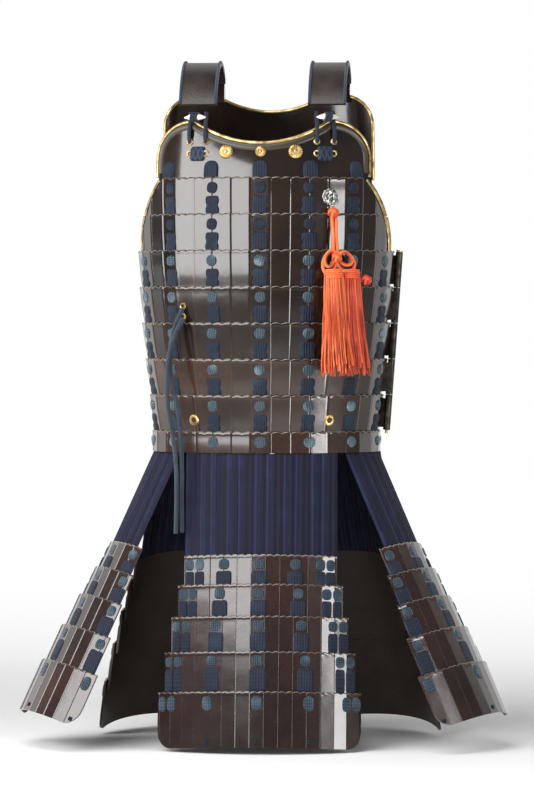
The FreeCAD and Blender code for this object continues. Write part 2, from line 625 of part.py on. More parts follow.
# Shoulder cords: from the eyelets up to a toggle that lies before the strap's end
cords = []
for hand, tag in ((-1, "right"), (1, "left")):
    for reach in ("inner", "outer"):
        place = on_row(0, f"{hand} * strap_eyelet_{reach}", UPPER_EYELETS)
        stand = "seat_gap + cord_eyelet_thickness + tassel_gap + shoulder_cord_radius"
        cords.append(rod(f"shoulder_cord_{tag}_{reach}", "shoulder_cord_radius",
                         "shoulder_cord_rise", f"{place} * {spot(y=f'-({stand})')}"))
    middle = f"{hand} * (strap_eyelet_inner + strap_eyelet_outer) / 2"
    place = on_row(0, middle, f"{UPPER_EYELETS} - toggle_above")
    for end in (-1, 1):
        cords.append(make("Part::Cone", f"toggle_{tag}_{'a' if end < 0 else 'b'}",
                          Radius1="toggle_radius", Radius2="toggle_tip_radius",
                          Height="toggle_length / 2",
                          Placement=f"{place} * {spot(y='-toggle_stand')}"
                                    f" * {turn('y', f'{end} * 90')}"))
    place = on_row(0, middle, LOWER_EYELETS)
    half = "patch_width / 2"
    patch = box(f"lace_patch_{tag}", (f"-{half}", "0", "-patch_height / 2"),
                (half, "patch_thickness", "patch_height / 2"))
    stand = "seat_gap + cord_eyelet_thickness + patch_gap + patch_thickness"
    bind(patch, Placement=f"{place} * {spot(f'-{half}', f'-({stand})', '-patch_height / 2')}")
    cords.append(patch)
keep("shoulder_toggles", group("shoulder_toggle_group", cords))


def cord_path(points):
    """Join straight runs with the largest tangent arcs that their lengths allow."""
    path = [FreeCAD.Vector(*point) for point in points]
    edges, radii, start = [], [], path[0]
    for before, corner, after in zip(path, path[1:], path[2:]):
        into, out = (corner - before), (after - corner)
        half_turn = into.getAngle(out) / 2
        back = 0.45 * min(into.Length, out.Length)
        radii.append(back / math.tan(half_turn))
        into.normalize()
        out.normalize()
        first, last = corner - into * back, corner + out * back
        bisector = out - into
        bisector.normalize()
        middle = corner + bisector * (radii[-1] / math.cos(half_turn) - radii[-1])
        edges.append(Part.LineSegment(start, first).toShape())
        edges.append(Part.Arc(first, middle, last).toShape())
        start = last
    edges.append(Part.LineSegment(start, path[-1]).toShape())
    return Part.Wire(edges), radii


def cord_tube(name, points, radius):
    """Sweep a round section along a cord's route and report how tight it turns."""
    wire, radii = cord_path(points)
    first = FreeCAD.Vector(*points[1]) - FreeCAD.Vector(*points[0])
    ring = Part.Wire(Part.makeCircle(radius, FreeCAD.Vector(*points[0]), first))
    tube = wire.makePipeShell([ring], True, False)
    share = tube.Volume / (math.pi * radius ** 2 * wire.Length)
    print(f"{name}: length {wire.Length:.0f} mm, least radius {min(radii):.0f} mm,"
          f" volume share {share:.3f}")
    return tube


# The two free cords, as points across, forward and down from the shoulder
STRAND_A = [(-91, -96.5, -286), (-99, -99.5, -302), (-106, -99.5, -331), (-104.5, -99.5, -366),
            (-96.5, -99.5, -400), (-92.4, -99.5, -436), (-91.4, -99.8, -474),
            (-91.9, -100.5, -512), (-91.3, -101, -545)]
STRAND_B = [(-91, -97.5, -298), (-98.5, -107, -313), (-107.5, -107, -342), (-109, -107, -375),
            (-107, -107, -406), (-101, -107, -436), (-97.4, -107, -468), (-97, -107.5, -506),
            (-98, -108, -546)]
tubes = [cord_tube(name, points, val("hanging_cord_radius"))
         for name, points in (("strand a", STRAND_A), ("strand b", STRAND_B))]
hanging = doc.addObject("Part::Feature", "hanging_cord_tubes")
hanging.Shape = Part.makeCompound(tubes)
keep("hanging_cords", hanging)

doc.recompute()

for thing in doc.Objects:
    if "Invalid" in thing.State or "Error" in thing.State:
        raise ValueError(f"{thing.Name} did not compute: {thing.State}")
for name, thing in parts.items():
    if thing.Shape.isNull() or not thing.Shape.isValid() or not thing.Shape.Solids:
        raise ValueError(f"{name} has no sound shape")

os.makedirs("parts", exist_ok=True)
for name, thing in parts.items():
    thing.Shape.exportStep(os.path.join("parts", f"{name}.step"))
print(f"{len(parts)} sub-parts written")
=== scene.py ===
"""Dresses the two-piece lamellar cuirass: lacquered rows, lacing, gilt, tassel, cords and skirt.

The scene is in metres, in the part's own frame. Sizes of the object are written in
millimetres and turned into metres by MM where a mesh is made.
"""
from __future__ import annotations

import json
import logging
import math
from dataclasses import dataclass, field
from enum import Enum
from typing import Callable, Iterable, Sequence

import bmesh
import bpy
import numpy as np
from mathutils import Matrix, Vector

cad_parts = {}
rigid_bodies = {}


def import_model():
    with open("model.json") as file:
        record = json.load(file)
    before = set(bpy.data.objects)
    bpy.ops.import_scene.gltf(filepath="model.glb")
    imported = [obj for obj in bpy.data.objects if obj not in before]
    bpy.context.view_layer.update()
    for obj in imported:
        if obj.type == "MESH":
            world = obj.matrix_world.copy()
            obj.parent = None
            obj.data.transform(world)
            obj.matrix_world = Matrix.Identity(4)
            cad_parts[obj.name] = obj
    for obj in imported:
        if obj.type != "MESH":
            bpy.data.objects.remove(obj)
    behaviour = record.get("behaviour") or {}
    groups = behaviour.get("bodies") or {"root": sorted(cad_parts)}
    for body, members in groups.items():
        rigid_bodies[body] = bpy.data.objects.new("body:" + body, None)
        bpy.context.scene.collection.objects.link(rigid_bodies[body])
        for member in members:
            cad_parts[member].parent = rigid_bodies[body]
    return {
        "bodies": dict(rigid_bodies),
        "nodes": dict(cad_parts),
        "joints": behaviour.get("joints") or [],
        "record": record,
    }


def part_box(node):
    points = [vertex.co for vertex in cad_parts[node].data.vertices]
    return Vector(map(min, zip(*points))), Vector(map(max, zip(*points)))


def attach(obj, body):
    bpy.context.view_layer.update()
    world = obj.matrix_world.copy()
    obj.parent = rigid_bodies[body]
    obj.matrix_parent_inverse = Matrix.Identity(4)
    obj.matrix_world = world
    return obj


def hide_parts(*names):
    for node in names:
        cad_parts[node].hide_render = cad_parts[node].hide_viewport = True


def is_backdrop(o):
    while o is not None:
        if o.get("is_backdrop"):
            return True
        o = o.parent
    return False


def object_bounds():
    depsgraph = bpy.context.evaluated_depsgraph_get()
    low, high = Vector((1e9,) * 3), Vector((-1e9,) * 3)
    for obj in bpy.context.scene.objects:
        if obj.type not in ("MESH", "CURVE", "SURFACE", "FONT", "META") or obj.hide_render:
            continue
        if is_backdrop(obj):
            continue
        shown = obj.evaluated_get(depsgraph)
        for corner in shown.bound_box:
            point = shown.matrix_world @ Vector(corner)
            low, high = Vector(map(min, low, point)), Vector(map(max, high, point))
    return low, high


log = logging.getLogger("cuirass")
MM = 0.001
ARM_ROWS = (1, 2)
LAST_ROW = 8
LAST_RANK = 5


class Half(Enum):
    """The two halves that the trunk opens into."""

    FRONT = "front"
    BACK = "back"

    @property
    def body(self) -> str:
        """Name of the body that the half belongs to."""
        return f"{self.value}_half"

    @property
    def turn(self) -> float:
        """Angle of the half's middle, from the front."""
        return 0.0 if self is Half.FRONT else math.pi


class Weave(Enum):
    """How the threads of a braid lie."""

    TWILL = "twill"
    PLAIT = "plait"
    STRANDS = "strands"


class Shade:
    """Writes the nodes of one material."""

    def __init__(self, name: str) -> None:
        """Start a material whose shader is a principled one.

        Args:
            name: the material's name.
        """
        self.material = bpy.data.materials.new(name)
        self.material.use_nodes = True
        self.tree = self.material.node_tree
        self.shader = self.tree.nodes["Principled BSDF"]

    def put(self, **values: object) -> None:
        """Set sockets of the shader itself; an underscore stands for a space."""
        for name, value in values.items():
            self.shader.inputs[name.replace("_", " ")].default_value = value

    def node(self, kind: str, inputs: dict[int | str, object], **settings: object) -> bpy.types.Node:
        """Add a node.

        Args:
            kind: Blender's name of the node type.
            inputs: values or source sockets by socket name or number.
            settings: the node's own properties.

        Returns:
            The node.
        """
        node = self.tree.nodes.new(kind)
        for name, value in settings.items():
            setattr(node, name, value)
        for key, value in inputs.items():
            if isinstance(value, bpy.types.NodeSocket):
                self.tree.links.new(value, node.inputs[key])
            else:
                node.inputs[key].default_value = value
        return node

    def object_place(self) -> bpy.types.NodeSocket:
        """Give the Object coordinates."""
        return self.node("ShaderNodeTexCoord", {}).outputs["Object"]

    def lay(self) -> bpy.types.NodeSocket:
        """Give the piece's own UV map."""
        return self.node("ShaderNodeTexCoord", {}).outputs["UV"]

    def noise(self, scale: float, detail: float = 3.0, place: bpy.types.NodeSocket | None = None
              ) -> bpy.types.NodeSocket:
        """Give the factor of a noise over the object or another place."""
        source = place or self.object_place()
        return self.node("ShaderNodeTexNoise", {"Vector": source, "Scale": scale,
                                                "Detail": detail}).outputs[0]

    def ramp(self, factor: bpy.types.NodeSocket, stops: Sequence[tuple[float, tuple]]
             ) -> bpy.types.NodeSocket:
        """Turn a factor into a colour by stops.

        Args:
            factor: socket with a number.
            stops: place of each stop and its colour, in order.

        Returns:
            The colour's socket.
        """
        node = self.node("ShaderNodeValToRGB", {"Fac": factor})
        bar = node.color_ramp
        while len(bar.elements) < len(stops):
            bar.elements.new(0.5)
        for element, (place, colour) in zip(bar.elements, stops):
            element.position = place
            element.color = (*colour, 1.0)
        return node.outputs["Color"]

    def mix(self, factor: object, first: object, second: object) -> bpy.types.NodeSocket:
        """Blend two colours."""
        inputs = {"Factor": factor, 6: first, 7: second}
        return self.node("ShaderNodeMix", inputs, data_type="RGBA").outputs[2]

    def maths(self, operation: str, *values: object) -> bpy.types.NodeSocket:
        """Do one sum on sockets or numbers."""
        node = self.node("ShaderNodeMath", dict(enumerate(values)), operation=operation)
        return node.outputs[0]

    def spread(self, factor: bpy.types.NodeSocket, low: float, high: float) -> bpy.types.NodeSocket:
        """Map a factor of 0 to 1 onto a range."""
        return self.node("ShaderNodeMapRange", {"Value": factor, "To Min": low,
                                                "To Max": high}).outputs[0]

    def attribute(self, name: str) -> bpy.types.NodeSocket:
        """Read a number stored on the piece."""
        return self.node("ShaderNodeAttribute", {}, attribute_name=name).outputs["Fac"]

    def link(self, socket: bpy.types.NodeSocket, name: str) -> None:
        """Join a socket to the shader."""
        self.tree.links.new(socket, self.shader.inputs[name])

    def bump(self, height: bpy.types.NodeSocket, distance: float, strength: float = 1.0) -> None:
        """Add relief, on top of any that is already there.

        Args:
            height: socket with the height.
            distance: height of a full step, in metres.
            strength: how strongly it shows, 0 to 1.
        """
        inputs: dict[int | str, object] = {"Height": height, "Distance": distance,
                                           "Strength": strength}
        links = self.shader.inputs["Normal"].links
        if links:
            inputs["Normal"] = links[0].from_socket
        self.link(self.node("ShaderNodeBump", inputs).outputs["Normal"], "Normal")


@dataclass(frozen=True)
class Lacquer:
    """Polished lacquer with brown depth, worn thin along its edges, and paler where painted glints of light
    lie along the scale heads.
    """

    name: str
    deep: tuple[float, float, float] = (0.005, 0.004, 0.0035)
    warm: tuple[float, float, float] = (0.034, 0.016, 0.01)
    # Pale colour for rubbed edges and for the painted glints of light on the scale heads.
    worn_and_glint: tuple[float, float, float] = (0.3, 0.24, 0.19)
    roughness: float = 0.13
    brown: float = 0.5
    coat: float = 0.55

    def material(self) -> bpy.types.Material:
        """Build the material.

        Returns:
            The material.
        """
        shade = Shade(self.name)
        place = shade.object_place()
        clouds = shade.noise(9.0, 4.0, place)
        grain = shade.noise(160.0, 5.0, place)
        body = shade.ramp(clouds, [(0.5 - self.brown * 0.3, self.deep), (0.8, self.warm)])
        flecks = shade.ramp(grain, [(0.45, self.deep), (0.72, self.warm)])
        body = shade.mix(0.15, body, flecks)
        # Blend in the pale colour by the stored share: real rubbing on the edges, and painted glints of
        # light along the scale heads.
        wear_and_glint = shade.maths("MULTIPLY", shade.attribute("wear_and_glint"), shade.spread(grain, 0.0, 1.5))
        shade.link(shade.mix(shade.maths("MINIMUM", wear_and_glint, 1.0), body, (*self.worn_and_glint, 1.0)), "Base Color")
        rough = shade.maths("ADD", shade.spread(shade.noise(42.0, 4.0, place), -0.05, 0.1), self.roughness)
        shade.link(shade.maths("ADD", rough, shade.maths("MULTIPLY", wear_and_glint, 0.2)), "Roughness")
        shade.put(Specular_IOR_Level=0.55, Coat_Weight=self.coat, Coat_Roughness=0.07)
        shade.bump(shade.noise(45.0, 2.0, place), 0.0006, 0.3)
        return shade.material


@dataclass(frozen=True)
class Braid:
    """Silk braid whose threads follow the piece's UV map, in thread widths."""

    name: str
    dark: tuple[float, float, float]
    light: tuple[float, float, float]
    weave: Weave = Weave.TWILL
    across: float = 10.0
    along: float = 10.0
    sheen: float = 0.35
    fade: tuple[float, float, float] = (0.2, 0.24, 0.32)
    roughness: float = 0.6
    patches: float = 0.4

    def threads(self, shade: Shade) -> bpy.types.NodeSocket:
        """Give the height of the threads at each place.

        Args:
            shade: the material that is being written.

        Returns:
            The socket with the height, -1 to 1.
        """
        parts = shade.node("ShaderNodeSeparateXYZ", {0: shade.lay()})
        u_turn = shade.maths("MULTIPLY", parts.outputs[0], self.across * math.tau)
        v_turn = shade.maths("MULTIPLY", parts.outputs[1], self.along * math.tau)
        lean_a = shade.maths("SINE", shade.maths("ADD", u_turn, v_turn))
        if self.weave is Weave.TWILL:
            ribs = shade.maths("SINE", u_turn)
            return shade.maths("ADD", shade.maths("MULTIPLY", ribs, 0.6),
                               shade.maths("MULTIPLY", lean_a, 0.4))
        lean_b = shade.maths("SINE", shade.maths("SUBTRACT", u_turn, v_turn))
        if self.weave is Weave.PLAIT:
            return shade.maths("MAXIMUM", lean_a, lean_b)
        return shade.maths("SINE", shade.maths("ADD", u_turn, shade.noise(3.0, 2.0, shade.lay())))

    def material(self) -> bpy.types.Material:
        """Build the material.

        Returns:
            The material.
        """
        shade = Shade(self.name)
        height = self.threads(shade)
        factor = shade.spread(height, -0.55, 1.2)
        colour = shade.mix(factor, (*self.dark, 1.0), (*self.light, 1.0))
        patches = shade.ramp(shade.noise(38.0, 4.0), [(0.52, (0.0, 0.0, 0.0)), (0.8, (1.0, 1.0, 1.0))])
        tired = shade.maths("MULTIPLY", patches, self.patches)
        shade.link(shade.mix(tired, colour, (*self.fade, 1.0)), "Base Color")
        shade.put(Roughness=self.roughness, Sheen_Weight=self.sheen, Sheen_Roughness=0.4,
                  Specular_IOR_Level=0.35)
        shade.bump(height, 0.0005, 0.9)
        shade.bump(shade.noise(900.0, 2.0), 0.00025, 0.4)
        return shade.material


@dataclass(frozen=True)
class Metal:
    """Old polished metal with dark patches in its hollows."""

    name: str
    bright: tuple[float, float, float]
    dull: tuple[float, float, float]
    roughness: float = 0.28
    scale: float = 120.0

    def material(self) -> bpy.types.Material:
        """Build the material.

        Returns:
            The material.
        """
        shade = Shade(self.name)
        patches = shade.noise(self.scale, 5.0)
        colour = shade.ramp(patches, [(0.36, self.dull), (0.62, self.bright)])
        tarnish = shade.maths("MINIMUM", shade.attribute("wear_and_glint"), 1.0)
        shade.link(shade.mix(tarnish, colour, (*self.dull, 1.0)), "Base Color")
        shade.link(shade.spread(patches, self.roughness + 0.2, self.roughness - 0.06), "Roughness")
        shade.put(Metallic=1.0)
        shade.bump(shade.noise(self.scale * 5.0, 3.0), 0.0002, 0.35)
        return shade.material


@dataclass(frozen=True)
class Hide:
    """Leather or bone: a matt body with a fine grain."""

    name: str
    deep: tuple[float, float, float]
    pale: tuple[float, float, float]
    roughness: float = 0.55
    grain: float = 420.0
    depth: float = 0.0003

    def material(self) -> bpy.types.Material:
        """Build the material.

        Returns:
            The material.
        """
        shade = Shade(self.name)
        clouds = shade.noise(30.0, 5.0)
        shade.link(shade.ramp(clouds, [(0.3, self.deep), (0.75, self.pale)]), "Base Color")
        cells = shade.node("ShaderNodeTexVoronoi", {"Vector": shade.object_place(),
                                                    "Scale": self.grain}).outputs["Distance"]
        shade.link(shade.spread(clouds, self.roughness - 0.1, self.roughness + 0.1), "Roughness")
        shade.bump(cells, self.depth, 0.5)
        return shade.material


class Finishes:
    """The finishes of the object, each made once."""

    def __init__(self) -> None:
        """Build every material."""
        self.trunk = Lacquer("trunk_lacquer").material()
        self.lower = Lacquer("lower_row_lacquer", warm=(0.062, 0.029, 0.018), brown=0.9).material()
        self.skirt = Lacquer("skirt_lacquer", warm=(0.045, 0.018, 0.015), brown=0.8,
                             roughness=0.15).material()
        self.liner = Hide("liner_leather", (0.02, 0.013, 0.009), (0.04, 0.025, 0.016), 0.5).material()
        self.olive = Lacquer("rolled_edge_lacquer", deep=(0.022, 0.017, 0.008),
                             warm=(0.05, 0.036, 0.014), roughness=0.4, brown=0.8, coat=0.1).material()
        self.lace = Braid("indigo_lace", (0.002, 0.005, 0.016), (0.01, 0.026, 0.064), Weave.TWILL,
                          6.0, 9.0, 0.05, fade=(0.03, 0.08, 0.12)).material()
        # Paler, shinier copy of the indigo lace for the round heads below the arm rows: its paler colour
        # and pale patches are painted highlight on the same silk as the rest of the lace.
        self.lit_lace_head = Braid("lit_lace_head", (0.015, 0.03, 0.045), (0.1, 0.18, 0.22), Weave.TWILL, 5.0, 5.0,
                               0.2, fade=(0.32, 0.46, 0.5), roughness=0.34, patches=0.6).material()
        self.skirt_lace = Braid("skirt_lace", (0.0015, 0.004, 0.014), (0.011, 0.024, 0.062),
                                Weave.TWILL, 6.0, 6.0, 0.05, fade=(0.03, 0.07, 0.12)).material()
        # Paler copy of the skirt lace for the heads: its paler colour and pale patches are painted
        # highlight on the same silk.
        self.skirt_head = Braid("lit_skirt_lace_head", (0.008, 0.018, 0.03), (0.055, 0.11, 0.16), Weave.TWILL,
                                5.0, 5.0, 0.2, fade=(0.2, 0.32, 0.38), roughness=0.4).material()
        self.band = [Braid(f"suspension_lace_{number}", dark, light, Weave.TWILL, 4.0, 1.0, sheen=0.03,
                           fade=fade, patches=0.2, roughness=0.8).material() for number, (dark, light, fade)
                     in enumerate((((0.005, 0.006, 0.024), (0.02, 0.024, 0.08), (0.045, 0.055, 0.14)),
                                   ((0.002, 0.002, 0.014), (0.005, 0.006, 0.034), (0.012, 0.015, 0.07)),
                                   ((0.003, 0.002, 0.012), (0.009, 0.008, 0.032), (0.024, 0.024, 0.07))))]
        self.cord = Braid("blue_cord", (0.006, 0.014, 0.03), (0.028, 0.06, 0.105), Weave.PLAIT,
                          3.0, 1.0, 0.2, fade=(0.06, 0.11, 0.16)).material()
        self.free_cord = Braid("free_blue_cord", (0.006, 0.015, 0.032), (0.03, 0.065, 0.11),
                               Weave.PLAIT, 3.0, 48.0, 0.2, fade=(0.07, 0.12, 0.17)).material()
        self.dark_cord = Braid("navy_cord", (0.003, 0.006, 0.016), (0.014, 0.028, 0.06), Weave.PLAIT,
                               3.0, 1.0, 0.15, fade=(0.03, 0.06, 0.09)).material()
        self.orange = Braid("orange_silk", (0.5, 0.06, 0.015), (0.88, 0.17, 0.045), Weave.STRANDS,
                            1.0, 1.0, 0.15, (0.92, 0.32, 0.15)).material()
        self.rust = Braid("rust_silk", (0.36, 0.03, 0.01), (0.76, 0.105, 0.035), Weave.STRANDS,
                          1.0, 1.0, 0.15, (0.86, 0.22, 0.1)).material()
        self.red = Braid("red_silk", (0.34, 0.02, 0.01), (0.74, 0.07, 0.03), Weave.STRANDS,
                         1.0, 1.0, 0.1, (0.82, 0.15, 0.08)).material()
        self.gilt = Metal("gilt", (0.83, 0.6, 0.26), (0.3, 0.19, 0.07), 0.3).material()
        self.silver = Metal("silver", (0.6, 0.6, 0.58), (0.1, 0.1, 0.09), 0.24, 160.0).material()
        self.iron = Metal("blackened_iron", (0.09, 0.075, 0.06), (0.03, 0.025, 0.02), 0.4).material()
        self.bone = Hide("toggle_bone", (0.62, 0.56, 0.46), (0.85, 0.82, 0.74), 0.35, 200.0,
                         0.0001).material()
        self.strap = Hide("strap_leather", (0.012, 0.01, 0.009), (0.05, 0.036, 0.028), 0.4).material()


def mesh_object(name: str, points: np.ndarray, faces: Sequence[Sequence[int]],
                materials: Sequence[bpy.types.Material], uvs: np.ndarray | None = None,
                wear_and_glint: np.ndarray | None = None, slots: Sequence[int] | None = None,
                sharp: float = 38.0) -> bpy.types.Object:
    """Make a smooth mesh object from points in metres.

    Args:
        name: the piece's name.
        points: rows of x, y, z.
        faces: corner numbers of each face.
        materials: the piece's materials.
        uvs: one pair for each point, as the piece's UV map.
        wear_and_glint: one number for each point, stored as the attribute that lacquer and metal read; it
            holds rubbed wear and painted glints of light.
        slots: material number of each face.
        sharp: edges that turn by more degrees than this stay crisp.

    Returns:
        The new object, at the origin.
    """
    mesh = bpy.data.meshes.new(name)
    mesh.from_pydata(np.asarray(points, dtype=float).tolist(), [], [list(f) for f in faces])
    for material in materials:
        mesh.materials.append(material)
    if slots is not None:
        mesh.polygons.foreach_set("material_index", np.asarray(slots, dtype=np.int32))
    if uvs is not None:
        layer = mesh.uv_layers.new(name="UVMap")
        corners = np.empty(len(mesh.loops), dtype=np.int32)
        mesh.loops.foreach_get("vertex_index", corners)
        layer.data.foreach_set("uv", np.asarray(uvs, dtype=np.float32)[corners].ravel())
    if wear_and_glint is not None:
        store = mesh.attributes.new("wear_and_glint", "FLOAT", "POINT")
        store.data.foreach_set("value", np.asarray(wear_and_glint, dtype=np.float32))
    mesh.validate()
    mesh.shade_smooth()
    mesh.set_sharp_from_angle(angle=math.radians(sharp))
    piece = bpy.data.objects.new(name, mesh)
    bpy.context.scene.collection.objects.link(piece)
    return piece


def tidy(piece: bpy.types.Object, distance: float = 2e-6) -> bpy.types.Object:
    """Merge doubled points and drop the faces that closed up.

    Args:
        piece: the piece to clean.
        distance: points nearer than this become one, in metres.

    Returns:
        The same piece.
    """
    work = bmesh.new()
    work.from_mesh(piece.data)
    bmesh.ops.remove_doubles(work, verts=work.verts, dist=distance)
    bmesh.ops.dissolve_degenerate(work, edges=work.edges, dist=distance)
    work.to_mesh(piece.data)
    work.free()
    return piece


def join(name: str, pieces: Sequence[bpy.types.Object]) -> bpy.types.Object:
    """Join pieces into one object, with each face keeping its material.

    Args:
        name: name of the joined piece.
        pieces: the pieces; the first one takes in the rest.

    Returns:
        The joined piece.
    """
    for piece in bpy.context.selected_objects:
        piece.select_set(False)
    for piece in pieces:
        piece.select_set(True)
    bpy.context.view_layer.objects.active = pieces[0]
    bpy.ops.object.join()
    pieces[0].name = pieces[0].data.name = name
    return pieces[0]


def slab(name: str, outer: np.ndarray, inner: np.ndarray, materials: Sequence[bpy.types.Material],
         lay: np.ndarray, wear_and_glint: np.ndarray) -> bpy.types.Object:
    """Close two grids of points into a plate.

    Args:
        name: the piece's name.
        outer: the outer face, rows by columns by 3, rows from the top down.
        inner: the inner face in the same order.
        materials: outer finish, then lining.
        lay: UV of the outer points, rows by columns by 2.
        wear_and_glint: rubbed wear and painted glints of light on the outer points, rows by columns.

    Returns:
        The plate.
    """
    rows, columns = outer.shape[:2]
    count = rows * columns
    index = np.arange(count).reshape(rows, columns)
    a, b, c, d = (index[:-1, :-1].ravel(), index[1:, :-1].ravel(), index[1:, 1:].ravel(),
                  index[:-1, 1:].ravel())
    face = np.stack([a, b, c, d], 1)
    back = np.stack([d, c, b, a], 1) + count
    edges = [index[0, ::-1], index[-1, :], index[:, 0], index[::-1, -1]]
    strips = [np.stack([e[:-1], e[:-1] + count, e[1:] + count, e[1:]], 1) for e in edges]
    faces = np.concatenate([face, back] + strips)
    slots = np.zeros(len(faces), dtype=int)
    slots[len(face):2 * len(face)] = 1
    points = np.concatenate([outer.reshape(-1, 3), inner.reshape(-1, 3)])
    uvs = np.concatenate([lay.reshape(-1, 2)] * 2)
    return mesh_object(name, points * MM, faces, materials, uvs,
                       np.concatenate([wear_and_glint.ravel(), np.zeros(count)]), slots)


def tube(name: str, path: np.ndarray, radius: float | np.ndarray, material: bpy.types.Material,
         sides: int = 10, flat: float = 1.0, side_of: Vector | None = None,
         closed: bool = False, thread: float = 3.0) -> bpy.types.Object:
    """Sweep a round or flattened section along points.

    Args:
        name: the piece's name.
        path: points in millimetres.
        radius: half width, one for all or one for each point.
        material: its finish.
        sides: corners of the section.
        flat: thickness as a share of the width.
        side_of: direction that the thin way follows, or none for a round section.
        closed: whether the path is a ring.
        thread: length of one turn of the weave along the tube, in millimetres.

    Returns:
        The tube, with v of its UV map along it and u around it.
    """
    path = np.asarray(path, dtype=float)
    count = len(path)
    if closed:
        along = np.roll(path, -1, 0) - np.roll(path, 1, 0)
    else:
        along = np.gradient(path, axis=0)
    along /= np.linalg.norm(along, axis=1)[:, None]
    normal = np.array(side_of if side_of is not None else (0.13, 0.31, 0.94), dtype=float)
    if side_of is None and abs(along[0] @ normal) > 0.9:
        normal = np.array((1.0, 0.0, 0.0))
    frames = []
    for direction in along:
        flatways = normal - direction * (normal @ direction)
        flatways /= np.linalg.norm(flatways)
        if side_of is None:
            normal = flatways
        frames.append((flatways, np.cross(direction, flatways)))
    radii = np.broadcast_to(radius, count)
    turn = np.linspace(0.0, math.tau, sides + 1)
    points, uvs = [], []
    run = np.concatenate([[0.0], np.cumsum(np.linalg.norm(np.diff(path, axis=0), axis=1))])
    for here, (thin, wide), size, length in zip(path, frames, radii, run):
        ring = here + size * (np.outer(np.cos(turn) * flat, thin) + np.outer(np.sin(turn), wide))
        points.append(ring)
        uvs.append(np.stack([turn / math.tau, np.full(sides + 1, length / thread)], 1))
    wide_ring = sides + 1
    faces = []
    for i in range(count if closed else count - 1):
        j = (i + 1) % count
        for k in range(sides):
            faces.append((i * wide_ring + k, i * wide_ring + k + 1, j * wide_ring + k + 1,
                          j * wide_ring + k))
    if not closed:
        faces.append(tuple(range(sides - 1, -1, -1)))
        faces.append(tuple((count - 1) * wide_ring + k for k in range(sides)))
    piece = mesh_object(name, np.concatenate(points) * MM, faces, [material], np.concatenate(uvs))
    return outward(tidy(piece))


def outward(piece: bpy.types.Object) -> bpy.types.Object:
    """Turn the faces of a closed piece outwards.

    Args:
        piece: a closed piece.

    Returns:
        The same piece.
    """
    work = bmesh.new()
    work.from_mesh(piece.data)
    bmesh.ops.recalc_face_normals(work, faces=work.faces)
    work.to_mesh(piece.data)
    work.free()
    return piece


def steps_round(count: int) -> np.ndarray:
    """Give the angles of even steps round a circle."""
    return np.linspace(0, math.tau, count + 1)[:-1]


def carried(frame: Matrix, points: Iterable[Sequence[float]]) -> np.ndarray:
    """Take points from a local frame to the part's frame, both in millimetres."""
    return np.array([tuple(frame @ (Vector(point) * MM)) for point in points]) / MM


def lathe(name: str, outline: Sequence[tuple[float, float]], material: bpy.types.Material,
          place: Matrix, sides: int = 32, relief: Callable[[float, float], tuple[float, float]]
          | None = None) -> bpy.types.Object:
    """Turn an outline about the local -Y axis.

    Args:
        name: the piece's name.
        outline: radius and height off the face, in millimetres, from the middle outwards.
        material: its finish.
        place: the local frame, in metres, whose -Y points out.
        sides: steps round the axis.
        relief: gives radius and height again for a radius share and an angle.

    Returns:
        The turned piece.
    """
    points, faces, wear_and_glint = [], [], []
    for radius, height in outline:
        for step in range(sides):
            angle = math.tau * step / sides
            r, h = radius, height
            if relief is not None:
                share, rise = relief(radius, angle)
                r, h = radius * share, height + rise
            points.append(place @ Vector((r * math.cos(angle) * MM, -h * MM, r * math.sin(angle) * MM)))
            wear_and_glint.append(0.0)
    for ring in range(len(outline) - 1):
        for step in range(sides):
            nxt = (step + 1) % sides
            faces.append((ring * sides + step, ring * sides + nxt, (ring + 1) * sides + nxt,
                          (ring + 1) * sides + step))
    piece = mesh_object(name, np.array([tuple(p) for p in points]), faces, [material],
                        wear_and_glint=np.array(wear_and_glint))
    return outward(tidy(piece))


